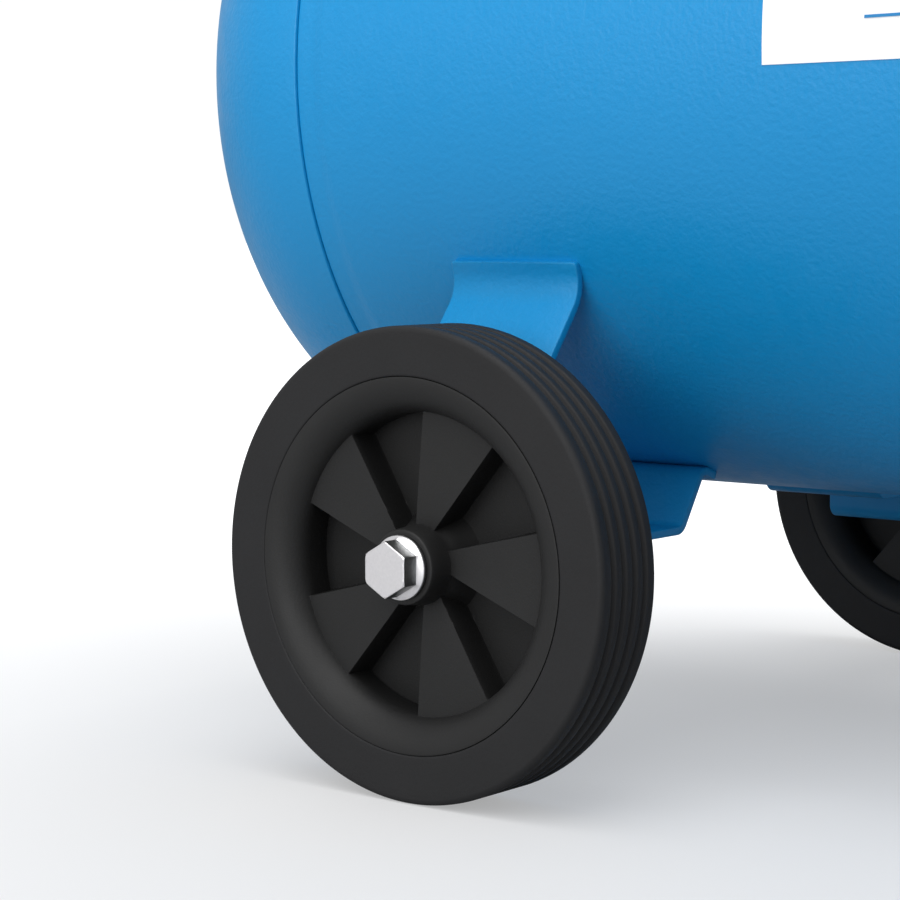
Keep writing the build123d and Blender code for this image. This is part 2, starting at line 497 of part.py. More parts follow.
# ---------------------------------------------------------------- pump
CY0, CY1 = -72.0, 78.0
cc = bx(PUMP_X - 56, PUMP_X + 56, CY0, CY1, PLATE_Z1, 552)
cc = fillet(cc.edges().filter_by(Axis.Z), 12)
cc += bx(PUMP_X - 74, PUMP_X + 74, CY0 + 8, CY1 - 8, PLATE_Z1, PLATE_Z1 + 10)
ci = bx(PUMP_X - 49, PUMP_X + 49, CY0 + 8, CY1 - 8, PLATE_Z1 + 7, 545)
cc -= fillet(ci.edges().filter_by(Axis.Z), 8)
for y in CYL_Y:
    cc -= cz(31.05, 540, 556, PUMP_X, y)
cc -= cy(44, CY0 - 1, CY0 + 9, PUMP_X, PUMP_Z) + cy(44, CY1 - 9, CY1 + 1, PUMP_X, PUMP_Z)
SIGHT = (-10.0, 440.0)
FILL = (-40.0, 524.0)
ODR = (40.0, 424.0)
cc += cx(17, PUMP_X + 50, PUMP_X + 61, *SIGHT) + cx(15, PUMP_X + 50, PUMP_X + 64, *FILL) + cx(11, PUMP_X + 50, PUMP_X + 62, *ODR)
cc -= cx(12.05, PUMP_X + 40, PUMP_X + 70, *SIGHT) + cx(9.6, PUMP_X + 40, PUMP_X + 70, *FILL) + cx(6.05, PUMP_X + 40, PUMP_X + 70, *ODR)
for x, y in P_BOLTS:
    cc -= cz(4.5, 400, 415, x, y)
save("crankcase", cc)


def cover(yin, yout, bore):
    s = 1 if yout > yin else -1
    c = cy(52, yin, yin + s * 6, PUMP_X, PUMP_Z) + cy(43.9, yin - s * 7.5, yin, PUMP_X, PUMP_Z) + cy(32, yin, yout, PUMP_X, PUMP_Z)
    c -= cy(24.05, yin - s * 8, yin + s * 6.5, PUMP_X, PUMP_Z)
    if bore:
        c -= cy(bore, yin - 30, yin + 30, PUMP_X, PUMP_Z)
    return c


fc = cover(CY0, CY0 - 10, 14.6)
rc = cover(CY1, CY1 + 9, 0)
CBA = [45 + 90 * k for k in range(4)]
pb = []
for cvr, yin, s in ((fc, CY0, -1), (rc, CY1, 1)):
    for ang in CBA:
        x, z = PUMP_X + 47.5 * math.cos(math.radians(ang)), PUMP_Z + 47.5 * math.sin(math.radians(ang))
        if s < 0:
            pb.append(hexy(8, yin - 6 - 4, yin - 6, x, z))
        else:
            pb.append(hexy(8, yin + 6, yin + 6 + 4, x, z))
save("crankcase_covers", fc, rc)
save("bearings", cy(24.0, CY0 - 6, CY0 + 7, PUMP_X, PUMP_Z) - cy(14.05, -100, 100, PUMP_X, PUMP_Z),
     cy(24.0, CY1 - 7, CY1 + 6, PUMP_X, PUMP_Z) - cy(14.05, -100, 100, PUMP_X, PUMP_Z))

# crankshaft: throw 1 up, throw 2 down
cs = [cy(14.0, -136, -59, PUMP_X, PUMP_Z) + cy(32, -59, -50, PUMP_X, PUMP_Z),
      cy(32, -16, -8, PUMP_X, PUMP_Z) + cy(14, -8, 12, PUMP_X, PUMP_Z) + cy(32, 12, 20, PUMP_X, PUMP_Z),
      cy(32, 54, 62, PUMP_X, PUMP_Z) + cy(14.0, 62, 82, PUMP_X, PUMP_Z)]
save("crankshaft", *cs)
save("crankshaft", hexy(30, -141, -131.2, PUMP_X, PUMP_Z) - cy(14.0, -136, -120, PUMP_X, PUMP_Z))

pistons, rods, pins = [], [], []
for y, up_ in ((CYL_Y[0], 1), (CYL_Y[1], -1)):
    zc = PUMP_Z + up_ * THROW
    zp = zc + ROD_LEN
    p = cz(BORE_R - 0.1, zp - 18, zp + 22, PUMP_X, y)
    for g in (8, 13, 18):
        p -= cz(BORE_R + 1, zp + g, zp + g + 2.2, PUMP_X, y) - cz(BORE_R - 2.2, zp + g - 1, zp + g + 3.5, PUMP_X, y)
    p -= cz(BORE_R - 5, zp - 20, zp + 2, PUMP_X, y) + bx(PUMP_X - 15, PUMP_X + 15, y - 9.2, y + 9.2, zp - 20, zp + 13)
    p -= cy(6.5, y - 40, y + 40, PUMP_X, zp)
    p = max(p.solids(), key=lambda q: q.volume)
    pistons.append(p)
    r = cy(19, y - 9, y + 9, PUMP_X, zc) + cy(11, y - 9, y + 9, PUMP_X, zp) + bx(PUMP_X - 7, PUMP_X + 7, y - 5, y + 5, zc + 14, zp - 8)
    r -= cy(11.05, y - 20, y + 20, PUMP_X, zc) + cy(6.5, y - 20, y + 20, PUMP_X, zp)
    rods.append(r)
    pins.append(cy(6.5, y - 21, y + 21, PUMP_X, zp))
    cp0, cp1 = (-49.9, -16.1) if up_ > 0 else (20.1, 53.9)
    pins.append(cy(11, cp0, cp1, PUMP_X, zc))
save("pistons", *pistons)
save("connecting_rods", *rods, *pins)

cb = cz(34, 552, DECK_Z, PUMP_X, CYL_Y[0]) + cz(34, 552, DECK_Z, PUMP_X, CYL_Y[1])
cb += bx(PUMP_X - 44, PUMP_X + 44, CYL_Y[0] - 38, CYL_Y[1] + 38, 552, 560) + bx(PUMP_X - 50, PUMP_X + 50, CYL_Y[0] - 40, CYL_Y[1] + 40, DECK_Z - 8, DECK_Z)
for k in range(9):
    z = 566 + 7.2 * k
    fin = bx(PUMP_X - 54, PUMP_X + 54, CYL_Y[0] - 41, CYL_Y[1] + 41, z, z + 2.4)
    fin = fillet(fin.edges().filter_by(Axis.Z), 16)
    cb += fin
for y in CYL_Y:
    cb -= cz(BORE_R, 530, 660, PUMP_X, y)
save("cylinder_block", cb)
vp = bx(PUMP_X - 52, PUMP_X + 52, CYL_Y[0] - 40, CYL_Y[1] + 40, DECK_Z, DECK_Z + 6)
vp = fillet(vp.edges().filter_by(Axis.Z), 8)
for y in CYL_Y:
    for s in (-1, 1):
        for d in (-8, 0, 8):
            vp -= cz(2.6, DECK_Z - 1, DECK_Z + 7, PUMP_X + s * 13, y + d)
save("cylinder_head", vp)
HZ0, HZ1 = DECK_Z + 6, DECK_Z + 50
hd = bx(PUMP_X - 52, PUMP_X + 52, CYL_Y[0] - 40, CYL_Y[1] + 40, HZ0, HZ1)
hd = fillet(hd.edges().filter_by(Axis.Z), 10)
for k in range(13):
    y = CYL_Y[0] - 40 + 8 + 11.7 * k
    hd -= bx(PUMP_X - 60, PUMP_X + 60, y, y + 6.6, HZ0 + 24, HZ1 + 1) if 0 < k < 12 else bx(PUMP_X - 60, PUMP_X + 60, y, y + 5.6, HZ0 + 30, HZ1 + 1)
hd -= bx(PUMP_X - 44, PUMP_X - 3, CYL_Y[0] - 31, CYL_Y[1] + 31, HZ0 - 1, HZ0 + 17) + bx(PUMP_X + 3, PUMP_X + 44, CYL_Y[0] - 31, CYL_Y[1] + 31, HZ0 - 1, HZ0 + 17)
HB = [(PUMP_X + sx * 45, y) for sx in (-1, 1) for y in (CYL_Y[0] - 34, 2.0, CYL_Y[1] + 34)]
for x, y in HB:
    hd += cz(7.5, HZ0, HZ1 - 12, x, y)
OUT = (PUMP_X - 24, 668.0)
hd += cx(15, PUMP_X + 48, PUMP_X + 60, 2, 664) + cy(13, CYL_Y[1] + 36, CYL_Y[1] + 46, *OUT)
hd -= cx(9, PUMP_X + 30, PUMP_X + 64, 2, 657) + cy(7.05, CYL_Y[1] + 20, CYL_Y[1] + 50, OUT[0], 660)
hd -= cy(7.05, CYL_Y[1] + 38, CYL_Y[1] + 50, *OUT)
for x, y in HB:
    hd -= cz(4.1, HZ0 - 1, HZ1, x, y) + cz(8.4, HZ1 - 12, HZ1 + 2, x, y)
save("cylinder_head", max(hd.solids(), key=lambda q: q.volume))
hb = []
for x, y in HB:
    hb.append(hexz(13, HZ1 - 12, HZ1 - 4.5, x, y) + cz(4.0, HZ0, HZ1 - 12, x, y))
save("fasteners", *hb)
save("fasteners", *pb)
fb = []
for x, y in M_BOLTS:
    fb.append(hexz(13, PLATE_Z1 + 9, PLATE_Z1 + 15, x, y) + cz(4.0, 391, PLATE_Z1 + 9, x, y) + hexz(13, 393.5, 400, x, y))
for x, y in P_BOLTS:
    fb.append(hexz(13, PLATE_Z1 + 10, PLATE_Z1 + 16, x, y) + cz(4.0, 391, PLATE_Z1 + 10, x, y) + hexz(13, 393.5, 400, x, y))
save("fasteners", *fb)

sg = cx(12.0, PUMP_X + 54, PUMP_X + 61.5, *SIGHT)
save("gauge_glasses", sg)
fp = cx(14, PUMP_X + 64.1, PUMP_X + 72, *FILL) + cx(9.5, PUMP_X + 48, PUMP_X + 64.1, *FILL)
fp += bx(PUMP_X + 72, PUMP_X + 82, FILL[0] - 11, FILL[0] + 11, FILL[1] - 2.5, FILL[1] + 2.5)
save("oil_filler_plug", fp)
od = hexx(14, PUMP_X + 62.1, PUMP_X + 69, *ODR) + cx(6.0, PUMP_X + 50, PUMP_X + 62.1, *ODR)
save("fasteners", od)

# intake filter
FX0 = PUMP_X + 60
fl = turned_x([(0, FX0 + 6), (34, FX0 + 6), (44, FX0 + 12), (44, FX0 + 40), (38, FX0 + 47), (0, FX0 + 47)], 2, 664)
fl += cx(13, FX0, FX0 + 8, 2, 664)
fl -= cx(38, FX0 + 12, FX0 + 41, 2, 664) + cx(9, FX0 - 1, FX0 + 20, 2, 664)
for k in range(18):
    fl -= Pos(FX0 + 26, 2, 664) * Rot(20 * k, 0, 0) * Pos(0, 0, 42) * Box(20, 4, 12)
save("filter_housing", fl)
fe = cx(36, FX0 + 13, FX0 + 40, 2, 664) - cx(20, FX0 + 12, FX0 + 36, 2, 664)
save("filter_element", fe)

# ---------------------------------------------------------------- delivery line
ox, oz = OUT
cyy = CYL_Y[1] + 46
dp = pipe([(ox, cyy - 6, oz), (ox, 118, oz), (ox, 118, 575), (CHECK[0], 118, 490), (CHECK[0], 118, 398)], 6.5, [24, 45, 45], inner=5.0)
save("delivery_pipes", dp)
n1 = hexy(22, cyy + 0.05, cyy + 10.5, ox, oz) - cy(6.55, cyy - 1, cyy + 20, ox, oz)
n2 = hexz(24, 395.05, 409, *CHECK) - cz(6.55, 390, 412, *CHECK)
save("check_valve_body", n1, n2)
cv = hexz(27, 348.05, 372, *CHECK) + cz(13, 372, 388, *CHECK) + cz(10.5, 388, 395, *CHECK) + cz(9.85, 330, 348.05, *CHECK)
cv += cx(6, CHECK[0], CHECK[0] + 22, CHECK[1], 362)
cv -= cz(7, 352, 384, *CHECK) + cz(6.6, 383, 396, *CHECK) + cz(5, 325, 353, *CHECK)
cv -= cx(3.05, CHECK[0] + 5, CHECK[0] + 23, CHECK[1], 362)
save("check_valve_body", cv)
un = pipe([(CHECK[0] + 16, 118, 362), (60, 118, 362), (118, 122, 384), (150, 80, 425), (176, 62, 465), (176, 30.2, 465)], 3.0, [20, 20, 14, 10], inner=2.0)
save("delivery_pipes", un)

# ---------------------------------------------------------------- controls
rp = cz(9.8, 386, 398, *RISER) + hexz(22, 398.05, 408, *RISER) + cz(9.0, 398, 425, *RISER)
rp -= cz(6, 380, 430, *RISER)
save("manifold_block", rp)
mf = bx(CTRL_X - 17, CTRL_X + 17, -16, 16, 425, 455)
mf = fillet(mf.edges(), 2)
mf -= cz(6, 420, 460, *RISER) + cy(4.5, -20, 20, CTRL_X, CTRL_Z) + cx(6, CTRL_X, CTRL_X + 20, 0, CTRL_Z)
save("manifold_block", mf)
sb = bx(CTRL_X - 33, CTRL_X + 33, -30, 30, 455, 472)
sb = fillet(sb.edges().filter_by(Axis.Z), 6)
save("pressure_switch_base", sb)
sc = bx(CTRL_X - 33, CTRL_X + 33, -30, 30, 472, 556)
sc = fillet(sc.edges().filter_by(Axis.Z), 6)
sc = fillet(sc.edges().group_by(Axis.Z)[-1], 8)
sc -= bx(CTRL_X - 30.5, CTRL_X + 30.5, -27.5, 27.5, 471, 551)
sc -= cz(8.2, 545, 560, CTRL_X, 0)
for x in (-15, 15):
    sc -= cy(8.05, 25, 35, CTRL_X + x, 492)
save("pressure_switch_cover", sc)
save("pressure_switch_base", bx(CTRL_X - 24, CTRL_X + 24, -22, 22, 472, 486) + cz(14, 486, 520, CTRL_X, 0))
kb = cz(7.9, 545, 560, CTRL_X, 0) + turned_z([(0, 559), (15, 559), (16.5, 562), (16.5, 572), (14, 576), (0, 576)], CTRL_X, 0)
save("switch_knob", kb)
gl = []
for x in (-15, 15):
    g = hexy(20, 30.05, 36, CTRL_X + x, 492) + cy(8.6, 36, 44, CTRL_X + x, 492) + cy(8.0, 24, 30.05, CTRL_X + x, 492)
    g -= cy(3.6, 20, 50, CTRL_X + x, 492)
    gl.append(g)
g = hexx(20, MOTOR_X + 50.05, MOTOR_X + 56, 20, 580) + cx(8.6, MOTOR_X + 56, MOTOR_X + 64, 20, 580) + cx(8.0, MOTOR_X + 44, MOTOR_X + 50.05, 20, 580)
gl.append(g - cx(3.6, MOTOR_X + 40, MOTOR_X + 70, 20, 580))
save("cable_glands", *gl)


def gauge(x, z, r, ya, yb_):
    case = turned_y([(0, ya), (r - 3, ya), (r, ya - 3), (r, yb_ + 1.0), (r + 0.9, yb_ + 1.0), (r + 0.9, yb_ - 1.5), (r - 2.4, yb_ - 1.5), (r - 2.4, yb_ + 0.6), (r - 2.4, yb_ + 8), (0, yb_ + 8)], x, z)
    dial = cy(r - 2.45, yb_ + 7.0, yb_ + 8.0, x, z)
    glass = cy(r - 2.45, yb_ - 0.9, yb_ + 0.6, x, z)
    a_ = math.radians(225)
    needle = cy(2.6, yb_ + 3.4, yb_ + 6.9, x, z)
    nd = Pos(x, yb_ + 4.6, z) * Rot(0, -225, 0) * Pos((r - 8) / 2 - 2, 0, 0) * Box(r - 6, 0.8, 1.3)
    return case, dial, glass, needle + nd


c1, d1, g1, n1_ = gauge(CTRL_X, CTRL_Z, 25.0, -31, -52)
c2, d2, g2, n2_ = gauge(REG_X, CTRL_Z, 20.0, -28, -45)
c1 += cy(4.45, -31, -8, CTRL_X, CTRL_Z) + hexy(12, -31, -16.05, CTRL_X, CTRL_Z)
c2 += cy(4.45, -28, -14, REG_X, CTRL_Z) + hexy(12, -28, -20.6, REG_X, CTRL_Z)
save("gauge_cases", c1, c2)
save("gauge_glasses", g1, g2)
save("tank_gauge_needle", n1_)
save("outlet_gauge_needle", n2_)

# safety valve on the far side of the manifold
sv = hexy(17, 16.05, 26, CTRL_X, CTRL_Z) + cy(8, 26, 44, CTRL_X, CTRL_Z) + cy(4.45, 9, 16.05, CTRL_X, CTRL_Z)
sv -= cy(2.6, 20, 50, CTRL_X, CTRL_Z) + cy(2.0, 5, 30, CTRL_X, CTRL_Z)
save("manifold_block", sv)
pull = cy(2.5, 30, 50, CTRL_X, CTRL_Z) + cy(4.5, 44.1, 47, CTRL_X, CTRL_Z)
ring = Pos(CTRL_X, 58.0, CTRL_Z) * Rot(0, 90, 0) * Torus(9.0, 1.3)
save("safety_valve_pull", pull + ring)

# regulator
rb = cz(19, 420, 460, REG_X, 0) + cz(14, 412, 420, REG_X, 0) + cx(9.5, CTRL_X + 22, REG_X, 0, CTRL_Z) + hexx(20, CTRL_X + 17.05, CTRL_X + 25, 0, CTRL_Z) + cx(9.5, REG_X, REG_X + 24, 0, CTRL_Z)
rb += cz(15, 460, 470, REG_X, 0)
rb += bx(REG_X - 8, REG_X + 8, -20.5, -10, CTRL_Z - 8, CTRL_Z + 8)
rb -= cx(5.5, CTRL_X + 10, REG_X + 30, 0, CTRL_Z) + cy(4.5, -22, -8, REG_X, CTRL_Z) + cz(6.05, 455, 475, REG_X, 0)
save("regulator_body", rb)
rk = turned_z([(15.6, 463), (19, 463), (19, 490), (16, 494), (0, 494), (0, 476), (15.6, 476)], REG_X, 0) + cz(6.0, 462, 476, REG_X, 0)
for k in range(16):
    rk -= Pos(REG_X, 0, 479) * Rot(0, 0, 22.5 * k) * Pos(19.6, 0, 0) * Cylinder(1.5, 40)
save("regulator_knob", rk)

# outlet ball valve
VX0 = REG_X + 24
bvb = hexx(22, VX0 + 0.05, VX0 + 12, 0, CTRL_Z) + cx(12.5, VX0 + 12, VX0 + 34, 0, CTRL_Z) + hexx(22, VX0 + 34, VX0 + 44, 0, CTRL_Z) + cz(6.5, CTRL_Z, 456, VX0 + 23, 0)
bvb -= cx(5.5, VX0 - 1, VX0 + 45, 0, CTRL_Z) + Pos(VX0 + 23, 0, CTRL_Z) * Sphere(9.05) + cz(3.06, CTRL_Z, 460, VX0 + 23, 0)
save("ball_valve_body", bvb)
ball = Pos(VX0 + 23, 0, CTRL_Z) * Sphere(9.0) - cx(5.0, VX0, VX0 + 46, 0, CTRL_Z)
ball += cz(3.0, CTRL_Z + 7.5, 462, VX0 + 23, 0)
save("ball_valve_lever", ball)
pl_ = FilletPolyline((VX0 + 16, 0, 458.5), (VX0 + 34, 0, 458.5), (VX0 + 46, 0, 466), (VX0 + 80, 0, 466), radius=8)
lev = sweep(Plane(origin=pl_ @ 0, x_dir=(0, 1, 0), z_dir=pl_ % 0) * Rectangle(12, 2.6), path=pl_)
lev -= cz(3.0, 450, 470, VX0 + 23, 0)
lev += hexz(9, 459.8, 463.5, VX0 + 23, 0) - cz(3.0, 450, 470, VX0 + 23, 0)
save("ball_valve_lever", lev)

# quick coupler
QX = VX0 + 44
qb = hexx(20, QX + 0.05, QX + 9, 0, CTRL_Z) + cx(9.5, QX + 9, QX + 40, 0, CTRL_Z) + cx(11.0, QX + 38, QX + 41, 0, CTRL_Z)
qb -= cx(6.0, QX + 12, QX + 42, 0, CTRL_Z) + cx(4.0, QX - 1, QX + 13, 0, CTRL_Z)
save("coupler_body", qb)
qs = cx(13, QX + 15, QX + 37.5, 0, CTRL_Z)
qs = fillet(qs.edges().filter_by(GeomType.CIRCLE), 1.5)
for k in range(3):
    qs -= Pos(QX + 20 + 6 * k, 0, CTRL_Z) * Rot(0, 90, 0) * Torus(13.6, 1.3)
qs -= cx(9.56, QX, QX + 50, 0, CTRL_Z)
save("coupler_sleeve", qs)

# ---------------------------------------------------------------- drain
db = cz(6.55, 70, 88, DRAIN_X, 0) + hexz(17, 66, 77.95, DRAIN_X, 0) + cz(6.5, 60, 66, DRAIN_X, 0)
db -= cz(3.06, 55, 90, DRAIN_X, 0)
save("drain_valve_body", db)
dk = cz(3.0, 58, 80, DRAIN_X, 0) + cz(6, 52, 59, DRAIN_X, 0) + bx(DRAIN_X - 13, DRAIN_X + 13, -2.2, 2.2, 46, 57)
save("drain_screw", dk)

for node, sol in NODES.items():
    export_step(sol[0] if len(sol) == 1 else Compound(children=sol), f"parts/{node}.step")
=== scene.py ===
import json
import math
import random

import bmesh
import bpy
from mathutils import Matrix, Vector


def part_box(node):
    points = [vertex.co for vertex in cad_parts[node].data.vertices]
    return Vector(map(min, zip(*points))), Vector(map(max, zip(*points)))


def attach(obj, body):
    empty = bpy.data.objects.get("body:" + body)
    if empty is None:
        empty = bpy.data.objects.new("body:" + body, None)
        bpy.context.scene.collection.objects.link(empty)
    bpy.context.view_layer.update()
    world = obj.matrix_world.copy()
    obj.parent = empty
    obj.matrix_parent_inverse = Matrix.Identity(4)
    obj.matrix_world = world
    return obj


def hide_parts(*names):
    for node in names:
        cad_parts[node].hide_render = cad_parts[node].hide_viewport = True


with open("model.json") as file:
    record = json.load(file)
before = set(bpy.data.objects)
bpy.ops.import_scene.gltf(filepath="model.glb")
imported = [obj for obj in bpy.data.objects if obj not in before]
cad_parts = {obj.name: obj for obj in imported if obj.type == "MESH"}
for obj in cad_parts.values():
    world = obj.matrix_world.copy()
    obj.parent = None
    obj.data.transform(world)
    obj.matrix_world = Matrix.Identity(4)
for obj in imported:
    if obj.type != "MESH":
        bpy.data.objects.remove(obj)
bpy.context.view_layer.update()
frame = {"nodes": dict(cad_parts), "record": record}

random.seed(7)
MM = 0.001
scene = bpy.context.scene
col = scene.collection
nodes = frame["nodes"]

# ------------------------------------------------------------------ places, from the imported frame
def centre(node):
    lo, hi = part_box(node)
    return (lo + hi) / 2


WHEEL_R_MM = 76.0
wl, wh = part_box("tyre_right")
WX = (wl.x + wh.x) / 2 / MM
WZ = (wl.z + wh.z) / 2 / MM
WY_OUT = -wl.y / MM            # outer face of the wheels
WY_IN = -wh.y / MM
tl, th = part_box("tank_shell")
TANK_Z = (tl.z + th.z) / 2 / MM
TANK_R = (th.z - tl.z) / 2 / MM
sl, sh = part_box("tank_heads")
HEAD_R_X = sl.x / MM
TANK_F_X = sh.x / MM


# ------------------------------------------------------------------ mesh helpers
def make_obj(name, verts, faces, smooth=True, sharp=None, mats=None):
    me = bpy.data.meshes.new(name)
    me.from_pydata([tuple(c * MM for c in v) for v in verts], [], faces)
    me.update()
    bm = bmesh.new()
    bm.from_mesh(me)
    bmesh.ops.remove_doubles(bm, verts=bm.verts, dist=1e-7)
    bmesh.ops.recalc_face_normals(bm, faces=bm.faces)
    if sharp is not None:
        lim = math.radians(sharp)
        for e in bm.edges:
            if len(e.link_faces) == 2 and e.calc_face_angle(0) > lim:
                e.smooth = False
    for f in bm.faces:
        f.smooth = smooth
    bm.to_mesh(me)
    bm.free()
    ob = bpy.data.objects.new(name, me)
    col.objects.link(ob)
    for m in (mats or []):
        me.materials.append(m)
    return ob


def put(ob, body, mat=None, replaces=()):
    if mat is not None:
        if len(ob.data.materials):
            ob.data.materials[0] = mat
        else:
            ob.data.materials.append(mat)
    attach(ob, body)
    if replaces:
        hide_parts(*replaces)
    return ob


def lathe(name, prof, axis="x", centre_mm=(0, 0, 0), segs=192, closed=True, sharp=35.0):
    """prof: list of (radius, along) in mm. axis: the axis of revolution."""
    n = len(prof)
    verts, faces = [], []
    for j in range(segs):
        a = 2 * math.pi * j / segs
        c, s = math.cos(a), math.sin(a)
        for r, t in prof:
            if axis == "x":
                p = (t, r * c, r * s)
            elif axis == "y":
                p = (r * c, t, r * s)
            else:
                p = (r * c, r * s, t)
            verts.append((p[0] + centre_mm[0], p[1] + centre_mm[1], p[2] + centre_mm[2]))
    last = n if closed else n - 1
    for j in range(segs):
        k = (j + 1) % segs
        for i in range(last):
            i2 = (i + 1) % n
            quad = [j * n + i, j * n + i2, k * n + i2, k * n + i]
            faces.append(tuple(quad))
    return make_obj(name, verts, faces, True, sharp)


def arc_pts(cx, cy, r, a0, a1, n):
    return [(cx + r * math.cos(math.radians(a0 + (a1 - a0) * i / n)), cy + r * math.sin(math.radians(a0 + (a1 - a0) * i / n))) for i in range(n + 1)]


def fillet_path(pts, radii, seg_deg=6.0):
    """2-D polyline with its corners rounded."""
    out = [Vector(pts[0])]
    for i in range(1, len(pts) - 1):
        p0, p1, p2 = Vector(pts[i - 1]), Vector(pts[i]), Vector(pts[i + 1])
        d1, d2 = (p0 - p1).normalized(), (p2 - p1).normalized()
        turn = math.pi - d1.angle(d2)
        if turn < 1e-3:
            out.append(p1)
            continue
        r = radii[i - 1]
        t = r * math.tan(turn / 2)
        a, b = p1 + d1 * t, p1 + d2 * t
        c = p1 + (d1 + d2).normalized() * (r / math.cos(turn / 2))
        va, vb = a - c, b - c
        n = max(2, int(math.degrees(turn) / seg_deg))
        sgn = 1 if (va.x * vb.y - va.y * vb.x) > 0 else -1
        for k in range(n + 1):
            ang = sgn * turn * k / n
            out.append(c + Vector((va.x * math.cos(ang) - va.y * math.sin(ang), va.x * math.sin(ang) + va.y * math.cos(ang))))
    out.append(Vector(pts[-1]))
    return out


def strip_solid(name, path, t, x0, x1, edge=0.7, corner=6.0, nx=2):
    """Bent sheet: a 2-D (y, z) path, thickness t, running from x0 to x1, with rounded edges and rounded end corners."""
    n = len(path)
    tang, cum = [], [0.0]
    for i in range(n):
        a = path[max(0, i - 1)]
        b = path[min(n - 1, i + 1)]
        tang.append((b - a).normalized())
        if i:
            cum.append(cum[-1] + (path[i] - path[i - 1]).length)
    L = cum[-1]

    # extra points near both ends for the rounded corners
    def at(s):
        s = min(max(s, 0.0), L)
        for i in range(1, n):
            if cum[i] >= s - 1e-9:
                f = (s - cum[i - 1]) / max(1e-9, cum[i] - cum[i - 1])
                return path[i - 1].lerp(path[i], f), tang[i - 1].lerp(tang[i], f).normalized()
        return path[-1], tang[-1]
    ss = sorted(set([round(c, 5) for c in cum] + [round(corner * (1 - math.cos(math.radians(a))), 5) for a in range(0, 91, 15)] + [round(L - corner * (1 - math.cos(math.radians(a))), 5) for a in range(0, 91, 15)]))

    def inset(s):
        d = min(s, L - s)
        if d >= corner:
            return 0.0
        return corner - math.sqrt(max(0.0, corner * corner - (corner - d) ** 2))
    h = t / 2
    # section across the width: rounded rectangle in (x, normal)
    verts, faces = [], []
    ring_len = None
    for s in ss:
        p, tg = at(s)
        nrm = Vector((-tg.y, tg.x))
        xa, xb = x0 + inset(s), x1 - inset(s)
        ring = []
        e = min(edge, h * 0.95)
        for (cxx, chh, a0) in ((xb - e, h - e, 0), (xa + e, h - e, 90), (xa + e, -h + e, 180), (xb - e, -h + e, 270)):
            for k in range(4):
                a = math.radians(a0 + 90 * k / 3)
                ring.append((cxx + e * math.cos(a), chh + e * math.sin(a)))
            if a0 == 0:
                for q in range(1, nx + 1):
                    ring.append((xb - e + (xa - xb + 2 * e) * q / (nx + 1), h))
            if a0 == 180:
                for q in range(1, nx + 1):
                    ring.append((xa + e + (xb - xa - 2 * e) * q / (nx + 1), -h))
        ring_len = len(ring)
        for x, hh in ring:
            q = p + nrm * hh
            verts.append((x, q.x, q.y))
    m = ring_len
    for i in range(len(ss) - 1):
        for j in range(m):
            k = (j + 1) % m
            faces.append((i * m + j, i * m + k, (i + 1) * m + k, (i + 1) * m + j))
    faces.append(tuple(range(m - 1, -1, -1)))
    faces.append(tuple((len(ss) - 1) * m + j for j in range(m)))
    return make_obj(name, verts, faces, True, 40)


def mirror_copy(ob, name):
    me = ob.data.copy()
    me.name = name
    for v in me.vertices:
        v.co.y = -v.co.y
    me.flip_normals()
    o2 = bpy.data.objects.new(name, me)
    col.objects.link(o2)
    return o2


# ------------------------------------------------------------------ material helpers
def lin(c):
    return tuple((v / 12.92 if v <= 0.04045 else ((v + 0.055) / 1.055) ** 2.4) for v in c)


def rgb(*c):
    return lin([v / 255.0 for v in c]) + (1.0,)


